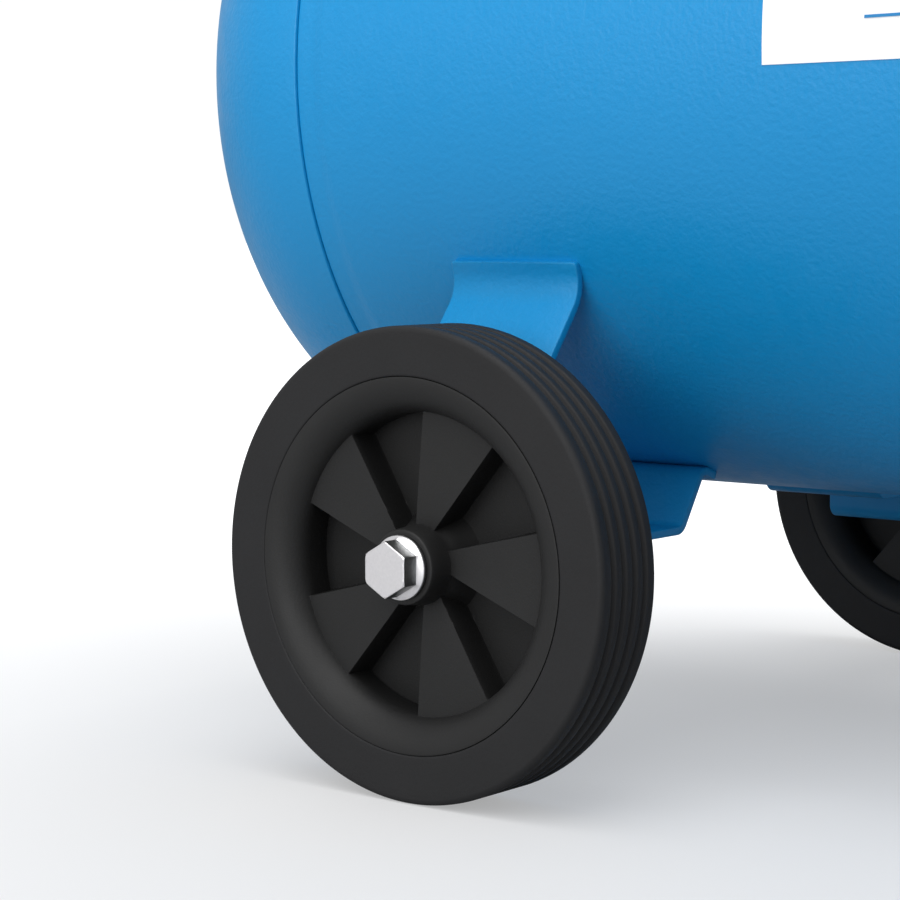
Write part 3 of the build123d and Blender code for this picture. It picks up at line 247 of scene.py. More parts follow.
class Mat:
    def __init__(self, name):
        self.m = bpy.data.materials.new(name)
        self.m.use_nodes = True
        self.t = self.m.node_tree
        self.b = self.t.nodes["Principled BSDF"]
        self.x = 0
        tc = self.t.nodes.new("ShaderNodeTexCoord")
        self.obj = tc.outputs["Object"]

    def node(self, kind, **kw):
        n = self.t.nodes.new(kind)
        for k, v in kw.items():
            setattr(n, k, v)
        return n

    def link(self, a, b):
        self.t.links.new(a, b)

    def noise(self, scale, detail=3.0, rough=0.55, vec=None, stretch=None, dist=0.0):
        n = self.node("ShaderNodeTexNoise")
        n.inputs["Scale"].default_value = scale
        n.inputs["Detail"].default_value = detail
        n.inputs["Roughness"].default_value = rough
        n.inputs["Distortion"].default_value = dist
        v = vec or self.obj
        if stretch:
            mp = self.node("ShaderNodeMapping")
            mp.inputs["Scale"].default_value = stretch
            self.link(v, mp.inputs["Vector"])
            v = mp.outputs["Vector"]
        self.link(v, n.inputs["Vector"])
        return n.outputs["Fac"]

    def ramp(self, fac, a, b, lo=0.3, hi=0.7):
        r = self.node("ShaderNodeMapRange")
        r.inputs["From Min"].default_value = lo
        r.inputs["From Max"].default_value = hi
        r.inputs["To Min"].default_value = a
        r.inputs["To Max"].default_value = b
        self.link(fac, r.inputs["Value"])
        return r.outputs["Result"]

    def mix(self, fac, a, b):
        n = self.node("ShaderNodeMix", data_type="RGBA")
        if hasattr(fac, "links") or hasattr(fac, "is_linked"):
            self.link(fac, n.inputs[0])
        else:
            n.inputs[0].default_value = fac
        for v, s in ((a, n.inputs[6]), (b, n.inputs[7])):
            if isinstance(v, tuple):
                s.default_value = v
            else:
                self.link(v, s)
        return n.outputs[2]

    def math(self, op, a, b=None):
        n = self.node("ShaderNodeMath", operation=op)
        for v, s in ((a, n.inputs[0]), (b, n.inputs[1])):
            if v is None:
                continue
            if isinstance(v, (int, float)):
                s.default_value = v
            else:
                self.link(v, s)
        return n.outputs[0]

    def edge_mask(self, radius=0.0008, gain=6.0):
        bv = self.node("ShaderNodeBevel")
        bv.samples = 4
        bv.inputs["Radius"].default_value = radius
        geo = self.node("ShaderNodeNewGeometry")
        d = self.node("ShaderNodeVectorMath", operation="DOT_PRODUCT")
        self.link(bv.outputs["Normal"], d.inputs[0])
        self.link(geo.outputs["Normal"], d.inputs[1])
        one = self.math("SUBTRACT", 1.0, d.outputs["Value"])
        m = self.node("ShaderNodeMath", operation="MULTIPLY", use_clamp=True)
        self.link(one, m.inputs[0])
        m.inputs[1].default_value = gain
        return m.outputs[0], bv.outputs["Normal"]

    def bump(self, height, strength, distance, normal=None):
        b = self.node("ShaderNodeBump")
        b.inputs["Strength"].default_value = strength
        b.inputs["Distance"].default_value = distance
        self.link(height, b.inputs["Height"])
        if normal is not None:
            self.link(normal, b.inputs["Normal"])
        return b.outputs["Normal"]

    def set(self, **kw):
        for k, v in kw.items():
            s = self.b.inputs[k.replace("_", " ")]
            if isinstance(v, (int, float, tuple)):
                s.default_value = v
            else:
                self.link(v, s)
        return self.m


def painted(name, base, light, rough=0.36, peel=0.12, peel_scale=900.0, edge=True, metal_edge=None, spec=0.5, var=1.0, coat=0.0):
    """Powder coat or enamel: slight tone drift, orange peel, a little wear at edges."""
    k = Mat(name)
    big = k.noise(9.0, 3.0, 0.5)
    fine = k.noise(140.0, 4.0, 0.6)
    c = k.mix(k.ramp(big, 0.0, 0.55 * var, 0.35, 0.65), base, light)
    c = k.mix(k.ramp(fine, 0.0, 0.22 * var, 0.4, 0.75), c, light)
    nrm = None
    if edge:
        m, nrm = k.edge_mask(0.0007, 5.0)
        worn = k.math("MULTIPLY", m, k.ramp(k.noise(260.0, 4.0, 0.7), 0.0, 0.9, 0.42, 0.66))
        c = k.mix(worn, c, metal_edge or light)
    peel_n = k.noise(peel_scale, 2.0, 0.5)
    r = k.math("ADD", k.ramp(fine, rough - 0.05, rough + 0.06, 0.3, 0.7), k.ramp(peel_n, -0.02, 0.02, 0.3, 0.7))
    n = k.bump(peel_n, peel, 0.0004, nrm)
    k.set(Base_Color=c, Roughness=r, Normal=n)
    k.b.inputs["Specular IOR Level"].default_value = spec
    if coat:
        k.b.inputs["Coat Weight"].default_value = coat
        k.b.inputs["Coat Roughness"].default_value = 0.15
    return k.m


def plastic(name, base, light, rough=0.5, grain=0.25, grain_scale=1500.0, spec=0.45, edge=True, dust=0.25, dust_col=(0.3, 0.3, 0.3, 1), painted_cavity_shade=0.0):
    k = Mat(name)
    big = k.noise(22.0, 3.0, 0.6)
    c = k.mix(k.ramp(big, 0.0, dust, 0.42, 0.75), base, light)
    if painted_cavity_shade:
        # Painted shade: where ambient occlusion finds the surface hemmed in, as in recesses, the colour is pulled
        # towards a quarter of the base.
        ao = k.node("ShaderNodeAmbientOcclusion")
        ao.samples = 6
        ao.only_local = True
        ao.inputs["Distance"].default_value = 0.03
        c = k.mix(k.ramp(ao.outputs["AO"], painted_cavity_shade, 0.0, 0.40, 0.97), c, (base[0] * 0.25, base[1] * 0.25, base[2] * 0.25, 1))
    nrm = None
    if edge:
        m, nrm = k.edge_mask(0.0006, 4.0)
        worn = k.math("MULTIPLY", m, k.ramp(k.noise(300.0, 3.0, 0.6), 0.05, 0.5, 0.4, 0.7))
        c = k.mix(worn, c, dust_col)
    g = k.noise(grain_scale, 2.0, 0.6)
    r = k.math("ADD", k.ramp(big, rough - 0.06, rough + 0.07, 0.3, 0.7), k.ramp(g, -0.03, 0.03, 0.3, 0.7))
    n = k.bump(g, grain, 0.00025, nrm)
    k.set(Base_Color=c, Roughness=r, Normal=n)
    k.b.inputs["Specular IOR Level"].default_value = spec
    return k.m


def metal(name, base, dark, rough=0.28, brush=(1, 1, 1), brush_scale=300.0, bump=0.08, var=0.5, edge=True, metallic=1.0):
    k = Mat(name)
    big = k.noise(35.0, 4.0, 0.6)
    br = k.noise(brush_scale, 4.0, 0.65, stretch=brush)
    c = k.mix(k.ramp(big, 0.0, var, 0.4, 0.75), base, dark)
    c = k.mix(k.ramp(br, 0.0, 0.25, 0.4, 0.7), c, dark)
    nrm = None
    if edge:
        m, nrm = k.edge_mask(0.0005, 4.0)
        c = k.mix(k.math("MULTIPLY", m, 0.4), c, (0.95, 0.95, 0.95, 1))
    r = k.math("ADD", k.ramp(br, rough - 0.07, rough + 0.09, 0.3, 0.7), k.ramp(big, -0.03, 0.05, 0.3, 0.7))
    n = k.bump(br, bump, 0.0002, nrm)
    k.set(Base_Color=c, Roughness=r, Normal=n)
    k.b.inputs["Metallic"].default_value = metallic
    return k.m


def casting(name, base, light, rough=0.5, metallic=0.0, grain=0.5, grain_scale=420.0):
    """Sand-cast surface, bare or under thin paint."""
    k = Mat(name)
    big = k.noise(16.0, 4.0, 0.6)
    g = k.noise(grain_scale, 5.0, 0.7)
    v = k.node("ShaderNodeTexVoronoi")
    v.inputs["Scale"].default_value = grain_scale * 1.6
    k.link(k.obj, v.inputs["Vector"])
    c = k.mix(k.ramp(big, 0.0, 0.5, 0.38, 0.7), base, light)
    m, nrm = k.edge_mask(0.0008, 4.0)
    c = k.mix(k.math("MULTIPLY", m, k.ramp(g, 0.1, 0.7, 0.4, 0.65)), c, light)
    h = k.math("ADD", g, k.math("MULTIPLY", v.outputs["Distance"], 0.5))
    n = k.bump(h, grain, 0.0003, nrm)
    k.set(Base_Color=c, Roughness=k.ramp(g, rough - 0.08, rough + 0.1, 0.3, 0.7), Normal=n)
    k.b.inputs["Metallic"].default_value = metallic
    return k.m


BLUE = (0.003, 0.265, 0.60, 1)
BLUE_L = (0.008, 0.295, 0.64, 1)
M = {}
M["tank_blue"] = painted("powder_blue", BLUE, BLUE_L, rough=0.42, peel=0.5, peel_scale=520.0, metal_edge=rgb(50, 146, 202), spec=0.30, var=0.4)
M["tank_blue_smooth"] = painted("powder_blue_tank", BLUE, BLUE_L, rough=0.38, peel=0.5, peel_scale=520.0, edge=False, spec=0.46, var=0.35)
# The brackets share the tank's powder coat; this copy is painted darker than the tank's, a painted shade.
BRACKET_BLUE_SHADED = (0.003, 0.232, 0.52, 1)
BRACKET_BLUE_SHADED_L = (0.008, 0.258, 0.56, 1)
M["bracket_blue"] = painted("powder_blue_bracket_shaded", BRACKET_BLUE_SHADED, BRACKET_BLUE_SHADED_L, rough=0.42, peel=0.5, peel_scale=520.0, metal_edge=rgb(50, 146, 202), spec=0.30, var=0.4)
def bolt_mat():
    """Zinc plated head: the faces along Y keep bright zinc, the sides across Y are painted much darker, a painted
    shade.
    """
    k = Mat("zinc_bolt_head")
    tc = k.node("ShaderNodeTexCoord")
    sp = k.node("ShaderNodeSeparateXYZ")
    k.link(tc.outputs["Normal"], sp.inputs[0])
    # Painted shade mask: surfaces facing along Y stay bright, surfaces turned across Y go dark.
    ab = k.node("ShaderNodeMath", operation="ABSOLUTE")
    k.link(sp.outputs["Y"], ab.inputs[0])
    n = k.noise(900.0, 3.0, 0.6)
    face = k.mix(k.ramp(n, 0.0, 1.0, 0.35, 0.7), (0.975, 0.955, 0.965, 1), (0.90, 0.885, 0.895, 1))
    painted_shade_side = k.mix(k.ramp(n, 0.0, 1.0, 0.35, 0.7), (0.34, 0.35, 0.35, 1), (0.26, 0.27, 0.27, 1))
    k.set(Base_Color=k.mix(k.ramp(ab.outputs[0], 0.0, 1.0, 0.30, 0.62), painted_shade_side, face), Roughness=k.ramp(n, 0.34, 0.42))
    k.b.inputs["Metallic"].default_value = 1.0
    return k.m


M["zinc_bolt"] = bolt_mat()
M["tyre_rubber"] = plastic("tyre_rubber", rgb(33, 33, 34), rgb(44, 44, 45), rough=0.60, grain=0.22, grain_scale=900.0, spec=0.25, edge=False, dust=0.35)
# The rim's recesses are darkened in colour here: painted shade.
M["rim_plastic"] = plastic("rim_plastic", rgb(34, 34, 34), rgb(42, 42, 42), rough=0.50, grain=0.25, grain_scale=1300.0, spec=0.27, edge=False, dust=0.3, painted_cavity_shade=0.75)
M["zinc_steel"] = metal("zinc_steel", rgb(250, 247, 248), rgb(228, 226, 228), rough=0.36, brush_scale=520.0, bump=0.06, var=0.35)
M["soft_rubber"] = plastic("soft_rubber", rgb(30, 30, 31), rgb(52, 52, 52), rough=0.68, grain=0.3, grain_scale=700.0, spec=0.35, dust=0.35)
M["motor_grey"] = casting("motor_enamel", rgb(74, 78, 82), rgb(104, 108, 112), rough=0.42, grain=0.25, grain_scale=380.0)
M["black_plastic"] = plastic("black_plastic", rgb(30, 31, 32), rgb(48, 49, 50), rough=0.46, grain=0.35, grain_scale=1100.0, dust=0.25, dust_col=rgb(88, 88, 88))
M["machined_steel"] = metal("machined_steel", rgb(196, 196, 198), rgb(150, 150, 154), rough=0.26, brush=(1, 14, 1), brush_scale=260.0, bump=0.1, var=0.4)
M["red_plastic"] = plastic("red_plastic", rgb(186, 24, 20), rgb(206, 46, 38), rough=0.30, grain=0.1, grain_scale=800.0, spec=0.5, dust=0.3, dust_col=rgb(232, 120, 110))
M["aluminium_cast"] = casting("aluminium_cast", rgb(186, 188, 190), rgb(214, 215, 216), rough=0.40, metallic=0.85, grain=0.35, grain_scale=360.0)
M["iron_grey"] = casting("iron_enamel", rgb(58, 61, 64), rgb(92, 95, 98), rough=0.46, grain=0.5, grain_scale=300.0)
M["belt_rubber"] = plastic("belt_rubber", rgb(28, 28, 29), rgb(58, 58, 58), rough=0.72, grain=0.5, grain_scale=500.0, spec=0.3, edge=False, dust=0.5)
M["guard_black"] = painted("guard_powder_black", rgb(27, 28, 30), rgb(44, 46, 49), rough=0.42, peel=0.2, peel_scale=420.0, metal_edge=rgb(120, 122, 126), spec=0.5, var=0.5)
M["filter_paper"] = plastic("filter_paper", rgb(222, 200, 150), rgb(196, 170, 120), rough=0.85, grain=0.6, grain_scale=600.0, spec=0.2, edge=False, dust=0.6)
M["pipe_copper"] = metal("drawn_copper", rgb(206, 132, 96), rgb(150, 86, 62), rough=0.25, brush=(1, 1, 8), brush_scale=160.0, bump=0.05, var=0.6)
M["brass"] = metal("turned_brass", rgb(214, 182, 112), rgb(170, 136, 72), rough=0.24, brush=(6, 1, 1), brush_scale=260.0, bump=0.06, var=0.5)
M["chrome"] = metal("chrome_plate", rgb(228, 228, 230), rgb(200, 200, 204), rough=0.11, brush_scale=60.0, bump=0.02, var=0.3)
M["needle_black"] = plastic("needle_enamel", rgb(20, 20, 20), rgb(34, 34, 34), rough=0.4, grain=0.1, edge=False)
M["label_white"] = plastic("label_vinyl", rgb(247, 247, 247), rgb(240, 240, 241), rough=0.42, grain=0.08, grain_scale=900.0, spec=0.4, edge=False, dust=0.2)
M["label_blue"] = plastic("label_ink_blue", rgb(30, 126, 186), rgb(44, 143, 204), rough=0.42, grain=0.08, grain_scale=900.0, spec=0.4, edge=False, dust=0.2)
M["dial_white"] = plastic("dial_card", rgb(240, 240, 236), rgb(230, 230, 226), rough=0.6, grain=0.1, grain_scale=900.0, spec=0.3, edge=False, dust=0.2)
M["dial_ink"] = plastic("dial_ink", rgb(22, 22, 24), rgb(34, 34, 36), rough=0.6, grain=0.1, grain_scale=900.0, spec=0.3, edge=False)
M["dial_red"] = plastic("dial_red", rgb(196, 28, 24), rgb(206, 40, 34), rough=0.6, grain=0.1, grain_scale=900.0, spec=0.3, edge=False)


def glass_mat():
    k = Mat("clear_glass")
    n = k.noise(40.0, 2.0, 0.5)
    k.set(Base_Color=k.mix(k.ramp(n, 0.0, 0.3), (0.96, 0.98, 0.99, 1), (0.92, 0.95, 0.96, 1)), Roughness=k.ramp(n, 0.02, 0.06))
    k.b.inputs["Transmission Weight"].default_value = 1.0
    k.b.inputs["IOR"].default_value = 1.46
    k.b.inputs["Alpha"].default_value = 0.12
    return k.m


M["clear_glass"] = glass_mat()

slot_of = {s["node"]: s["material_slot"] for s in frame["record"]["subparts"]}
for n, ob in nodes.items():
    m = M[slot_of[n]]
    if len(ob.data.materials):
        for i in range(len(ob.data.materials)):
            ob.data.materials[i] = m
    else:
        ob.data.materials.append(m)

# ------------------------------------------------------------------ receiver
HEAD_DEPTH, HEAD_SKIRT = 92.6, 10.3
SEAM_R = HEAD_R_X + HEAD_DEPTH + HEAD_SKIRT
PLUG_X = SEAM_R + 770.0 - 2 * (HEAD_DEPTH + HEAD_SKIRT) + HEAD_DEPTH + HEAD_SKIRT
SEAM_F = PLUG_X - HEAD_DEPTH - HEAD_SKIRT
WALL = 2.5


def shell_profile():
    """Outer then inner line of the shell: each end is necked down a little beside its seam."""
    neck = 0.75
    out = []
    for side, seam in ((1, SEAM_R), (-1, SEAM_F)):
        half = [(TANK_R - 1.5, seam + side * 0.30), (TANK_R - neck - 0.25, seam + side * 0.34), (TANK_R - neck - 0.03, seam + side * 0.6), (TANK_R - neck, seam + side * 1.0), (TANK_R - neck, seam + side * 3.5), (TANK_R - neck, seam + side * 6.4)]
        for i in range(1, 12):
            u = i / 12.0
            half.append((TANK_R - neck * (1 - u * u * (3 - 2 * u)), seam + side * (6.8 + 6.0 * u)))
        half += [(TANK_R, seam + side * 13.2), (TANK_R, seam + side * 15.5)]
        out += half if side > 0 else half[::-1]
        if side > 0:
            a, b = SEAM_R + 18.0, SEAM_F - 18.0
            out += [(TANK_R, a + (b - a) * i / 40) for i in range(41)]
    out += [(TANK_R - WALL, SEAM_F - 0.30), (TANK_R - WALL, SEAM_R + 0.30)]
    return out


shell = lathe("receiver_shell", shell_profile(), "x", (0, 0, TANK_Z), 288, True, 50)
put(shell, "frame", M["tank_blue_smooth"], ("tank_shell",))


def head_profile(seam, sgn, hole=0.0):
    out = [(TANK_R - WALL, seam), (TANK_R - 1.4, seam), (TANK_R - 0.18, seam + sgn * 0.04), (TANK_R - 0.03, seam + sgn * 0.22), (TANK_R, seam + sgn * 0.5), (TANK_R, seam + sgn * 5.0)]
    tip = []
    k = 48
    for i in range(k + 1):
        a = math.pi / 2 * i / k
        r = TANK_R * math.cos(a)
        if r < hole:
            break
        tip.append((max(r, 0.02), seam + sgn * (HEAD_SKIRT + HEAD_DEPTH * math.sin(a))))
    inner = []
    for i in range(k, -1, -1):
        a = math.pi / 2 * i / k
        r = (TANK_R - WALL) * math.cos(a)
        if r < hole:
            continue
        inner.append((max(r, 0.02), seam + sgn * (HEAD_SKIRT + (HEAD_DEPTH - WALL) * math.sin(a))))
    if hole:
        a = math.acos(hole / TANK_R)
        tip.append((hole, seam + sgn * (HEAD_SKIRT + HEAD_DEPTH * math.sin(a))))
        a = math.acos(hole / (TANK_R - WALL))
        inner.insert(0, (hole, seam + sgn * (HEAD_SKIRT + (HEAD_DEPTH - WALL) * math.sin(a))))
    return out + tip + inner


hr = lathe("receiver_head_rear", head_profile(SEAM_R, -1), "x", (0, 0, TANK_Z), 288, True, 50)
put(hr, "frame", M["tank_blue_smooth"], ("tank_heads",))
hf = lathe("receiver_head_front", head_profile(SEAM_F, 1, 16.9), "x", (0, 0, TANK_Z), 288, True, 50)
put(hf, "frame", M["tank_blue_smooth"], ("tank_heads",))


# ------------------------------------------------------------------ labels
def label_patch(name, side, x0, x1, a0, a1, lift, mat, taper=(0.0, 0.0), repl=(), body="frame", corner=0.0):
    """A skin on the tank from angle a0 to a1 above the horizontal; taper shifts the angle with x."""
    nx, na = 60, 40
    verts, faces = [], []
    t = 0.22
    for layer, r in ((0, TANK_R + lift), (1, TANK_R + lift + t)):
        for i in range(nx + 1):
            x = x0 + (x1 - x0) * i / nx
            for j in range(na + 1):
                f = j / na
                a = a0 + (a1 - a0) * f + (taper[0] * (1 - f) + taper[1] * f) * (i / nx)
                verts.append((x, side * r * math.cos(math.radians(a)), TANK_Z + r * math.sin(math.radians(a))))
    w = na + 1
    L = (nx + 1) * w
    for i in range(nx):
        for j in range(na):
            q = (i * w + j, i * w + j + 1, (i + 1) * w + j + 1, (i + 1) * w + j)
            faces.append(q)
            faces.append(tuple(L + k for k in reversed(q)))
    for i in range(nx):
        for j in (0, na):
            faces.append((i * w + j, (i + 1) * w + j, L + (i + 1) * w + j, L + i * w + j))
    for j in range(na):
        for i in (0, nx):
            faces.append((i * w + j, i * w + j + 1, L + i * w + j + 1, L + i * w + j))
    ob = make_obj(name, verts, faces, True, 40)
    put(ob, body, mat, repl)
    return ob


ll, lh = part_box("tank_labels")
LX0, LX1 = ll.x / MM, lh.x / MM
label_patch("label_right", -1, LX0, LX1, -2.6, 46.0, 0.05, M["label_white"], (0, 0), ("tank_labels",))
cl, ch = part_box("tank_bosses")
label_patch("label_left_a", 1, LX0, -60.0, -2.6, 46.0, 0.05, M["label_white"], (0, 0), ("tank_labels",))
label_patch("label_left_b", 1, -60.0, -20.0, -2.6, 27.0, 0.05, M["label_white"], (0, 0), ("tank_labels",))
label_patch("label_left_c", 1, -20.0, LX1, -2.6, 46.0, 0.05, M["label_white"], (0, 0), ("tank_labels",))


def frange(a, b, n):
    return [a + (b - a) * i / n for i in range(n + 1)]


# printed lines on the label: a long thin rule, rising a little towards the front, and plain blocks
def label_line(name, side, xa, xb, aa, ab, w_mm, mat="label_blue"):
    wa = math.degrees(w_mm / TANK_R)
    label_patch(name, side, xa, xb, aa - wa / 2, aa + wa / 2, 0.30, M[mat], (ab - aa, ab - aa))


for side, tag in ((-1, "r"), (1, "l")):
    if side < 0:
        label_line("label_rule_low_" + tag, side, LX0 + 34.6, LX1 - 12, 2.2, 2.9, 0.9)
    else:
        label_line("label_rule_low_" + tag, side, LX0 + 12, LX1 - 34.6, 2.9, 2.2, 0.9)
    label_line("label_band_" + tag, side, LX0 + 12 if side < 0 else -14.0, LX1 - 12, 38.0, 38.0, 6.0)
    label_line("label_rule_top_" + tag, side, LX0 + 12 if side < 0 else -14.0, LX1 - 12, 34.2, 34.2, 1.0)

# ------------------------------------------------------------------ wheel brackets (outer surface profile, then half the sheet inward)
PROFILE = [(-135.3, 172.7), (-132.1, 163.0), (-153.6, 134.8), (-155.5, 63.5), (-122.0, 63.5), (-122.0, 78.4), (-71.7, 78.4), (-58.1, 99.1), (-49.4, 95.8)]
bk_l, bk_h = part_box("wheel_brackets")
BX0, BX1 = bk_l.x / MM, bk_h.x / MM
pth = fillet_path(PROFILE, [13.0, 9.0, 5.0, 4.0, 4.0, 5.0, 5.0], 4.0)
brk = strip_solid("wheel_bracket_right", pth, 2.9, BX0, BX1, 0.35, 1.2, 3)
brk2 = mirror_copy(brk, "wheel_bracket_left")
put(brk, "frame", M["bracket_blue"], ("wheel_brackets",))
put(brk2, "frame", M["bracket_blue"], ("wheel_brackets",))


# weld beads where the brackets' inner flanges meet the tank
def weld(name, pts, r=1.5):
    """A ripple bead along a polyline of (x, y, z) points."""
    n = len(pts)
    P = [Vector(p) for p in pts]
    cum = [0.0]
    for i in range(1, n):
        cum.append(cum[-1] + (P[i] - P[i - 1]).length)
    L = cum[-1]
    steps = max(8, int(L / 0.7))
    verts, faces = [], []
    m = 8
    for s in range(steps + 1):
        d = L * s / steps
        i = 1
        while i < n - 1 and cum[i] < d:
            i += 1
        f = (d - cum[i - 1]) / max(1e-9, cum[i] - cum[i - 1])
        c = P[i - 1].lerp(P[i], f)
        tg = (P[i] - P[i - 1]).normalized()
        up = Vector((0, c.y, c.z - TANK_Z)).normalized()
        sd = tg.cross(up).normalized()
        end = min(1.0, min(d, L - d) / (r * 1.2) + 0.05)
        rr = r * (1 + 0.10 * math.sin(d * 2 * math.pi / 2.6)) * math.sqrt(max(0.02, end))
        for k in range(m):
            a = 2 * math.pi * k / m
            q = c + up * (rr * 0.75 * math.sin(a)) + sd * (rr * math.cos(a))
            verts.append(tuple(q))
    for s in range(steps):
        for k in range(m):
            k2 = (k + 1) % m
            faces.append((s * m + k, s * m + k2, (s + 1) * m + k2, (s + 1) * m + k))
    faces.append(tuple(range(m - 1, -1, -1)))
    faces.append(tuple(steps * m + k for k in range(m)))
    ob = make_obj(name, verts, faces, True, 80)
    put(ob, "frame", M["tank_blue"])
    return ob


def on_tank(x, side, deg, lift=0.0):
    r = TANK_R + lift
    return (x, side * r * math.cos(math.radians(deg)), TANK_Z + r * math.sin(math.radians(deg)))


for side, tag in ((-1, "r"), (1, "l")):
    # under the inner flange, hidden from the wheel side
    a = math.degrees(math.atan2(96.9 - TANK_Z, 48.6))
    weld("bracket_weld_in_" + tag, [on_tank(x, side, a + 0.2) for x in frange(BX0 + 6, BX1 - 6, 6)], 1.3)

# ------------------------------------------------------------------ wheels
H = (WY_OUT - WY_IN) / 2
YM = (WY_OUT + WY_IN) / 2


def tyre_profile():
    p = [(60.78, -H + 0.9), (60.80, -H + 0.35), (61.1, -H + 0.04), (61.6, -H)]
    for i in range(1, 7):
        p.append((61.6 + 13.15 * i / 6, -H))
    p += arc_pts(74.75, -H + 2.1, 2.1, -90, 0, 8)[1:]
    for k in range(4):
        c = -8.4 + 5.6 * k
        p += [(76.85, c - 1.75), (76.71, c - 1.45), (76.2, c - 1.15), (75.45, c - 0.85), (75.1, c - 0.35), (75.1, c + 0.35), (75.45, c + 0.85), (76.2, c + 1.15), (76.71, c + 1.45), (76.85, c + 1.75)]
    p += [(r, -y) for r, y in reversed(arc_pts(74.75, -H + 2.1, 2.1, -90, 0, 8))]
    for i in range(5, -1, -1):
        p.append((61.6 + 13.15 * i / 6, H))
    p += [(61.1, H - 0.04), (60.80, H - 0.35), (60.78, H - 0.9), (60.74, 10.4), (58.2, 9.4), (58.2, -9.4), (60.74, -10.4)]
    return p


tyre_r = lathe("tyre_right_ribbed", [(r, y - YM) for r, y in tyre_profile()], "y", (WX, 0, WZ), 256, True, 60)
tyre_l = mirror_copy(tyre_r, "tyre_left_ribbed")
put(tyre_r, "right_wheel", M["tyre_rubber"], ("tyre_right",))
put(tyre_l, "left_wheel", M["tyre_rubber"], ("tyre_left",))

RIN, LIP, LIP_D = 48.8, 11.2, 10.6
HUB = 12.1
BORE = 7.07


def smooth(u):
    u = min(1.0, max(0.0, u))
    return u * u * (3 - 2 * u)


def sector_amount(theta, half, wall):
    """1 on a raised sector, 0 in a recess. theta in degrees."""
    t = (theta + 36.0) % 72.0 - 36.0
    return 1.0 - smooth((abs(t) - (half - wall / 2)) / wall)


def lip_depth(r):
    if r <= RIN:
        return 1e9
    if r >= RIN + LIP:
        return 0.0
    c = (RIN + LIP - r) / LIP
    return LIP_D - LIP_D * math.sqrt(max(0.0, 1 - c * c))


def front_depth(r, theta):
    wall = 1.5 * 20.0 / max(r, 14.0) * 1.0
    s = sector_amount(theta, 18.0, max(1.0, wall))
    d = 7.35 * s + 17.8 * (1 - s)
    d = min(d, lip_depth(r))
    # tapered foot of the hub in the recesses
    if HUB < r < 18.0:
        d = min(d, 7.35 + max(0.0, r - HUB - 0.6) * 2.35)
    # hub boss, standing proud of the wheel's side, with a rounded rim
    if r < HUB + 1.0:
        u = smooth((r - HUB) / 1.0)
        e = max(0.0, (r - HUB + 0.9) / 0.9)
        top = -1.35 + 0.45 * (1 - math.sqrt(max(0.0, 1 - min(1.0, e) ** 2)))
        d = d * u + top * (1 - u)
    return d


def back_depth(r, theta):
    wall = max(1.0, 1.5 * 20.0 / max(r, 14.0))
    s = sector_amount(theta, 16.8, wall)
    d = 18.9 * s + 7.6 * (1 - s)
    d = min(d, lip_depth(r))
    if r < HUB + 1.2:
        u = smooth((r - HUB) / 1.2)
        d = d * u + 0.4 * (1 - u)
    return d


def swirl(r):
    """The sector edges pass beside the centre: turn in degrees of the ring at radius r."""
    r = min(max(r, 13.0), 48.8)
    return -4.24 + math.degrees(math.asin(2.5 / r))


def rim_mesh(name):
    thetas = []
    for k in range(5):
        base = 72.0 * k
        for b0, b1 in ((-18.0, 18.0), (18.0, 54.0)):
            ins = [b0 + 1.6 * q / 8 for q in range(-8, 9)]
            mid = [b0 + 1.6 + (b1 - b0 - 3.2) * q / 12 for q in range(1, 12)]
            thetas += [base + t for t in ins + mid]
    thetas = sorted(t % 360.0 for t in thetas)
    rs = [BORE, BORE + 0.35, 9.0, 10.6, 11.2, 11.4, 11.6, 11.75, 11.9, 12.0, HUB] + [HUB + 1.0 * q / 5 for q in range(1, 6)] + [HUB + 1.5]
    rs += [14.3, 15.1]
    rs += [16.0 + (47.6 - 16.0) * q / 20 for q in range(21)]
    rs += [48.1, 48.4, 48.6, 48.74, 48.8]
    rs += [RIN + LIP - LIP * math.cos(math.radians(a)) for a in (3, 6, 9, 12, 14, 16, 18, 20, 22, 24, 26, 28, 31, 34, 37, 41, 46, 52, 58, 64, 70, 76, 82, 87, 90)]
    rs += [60.35, 60.6, 60.66]
    n = len(rs)
    T = len(thetas)
    verts, faces = [], []
    for side in (0, 1):
        for th in thetas:
            for r in rs:
                tt = math.radians(th + swirl(r))
                c, s = math.cos(tt), math.sin(tt)
                if side == 0:
                    d = front_depth(r, th)
                    if r < 7.3:
                        d += 0.35 if r <= BORE + 0.01 else 0.05
                    if r > 60.5:
                        d += (0.35 if r > 60.62 else 0.06)
                    y = -WY_OUT + d
                else:
                    d = back_depth(r, th)
                    if r > 60.5:
                        d += (0.35 if r > 60.62 else 0.06)
                    y = -WY_IN - d
                verts.append((WX + r * c, y, WZ + r * s))
    for side in (0, 1):
        o = side * T * n
        for j in range(T):
            k = (j + 1) % T
            for i in range(n - 1):
                faces.append((o + j * n + i, o + j * n + i + 1, o + k * n + i + 1, o + k * n + i))
    # close the bore and the outer band
    o = T * n
    for j in range(T):
        k = (j + 1) % T
        faces.append((j * n, k * n, o + k * n, o + j * n))
        faces.append((j * n + n - 1, k * n + n - 1, o + k * n + n - 1, o + j * n + n - 1))
    return make_obj(name, verts, faces, True, 50)


rim_r = rim_mesh("rim_right_moulded")
rim_l = mirror_copy(rim_r, "rim_left_moulded")
put(rim_r, "right_wheel", M["rim_plastic"], ("rim_right",))
put(rim_l, "left_wheel", M["rim_plastic"], ("rim_left",))


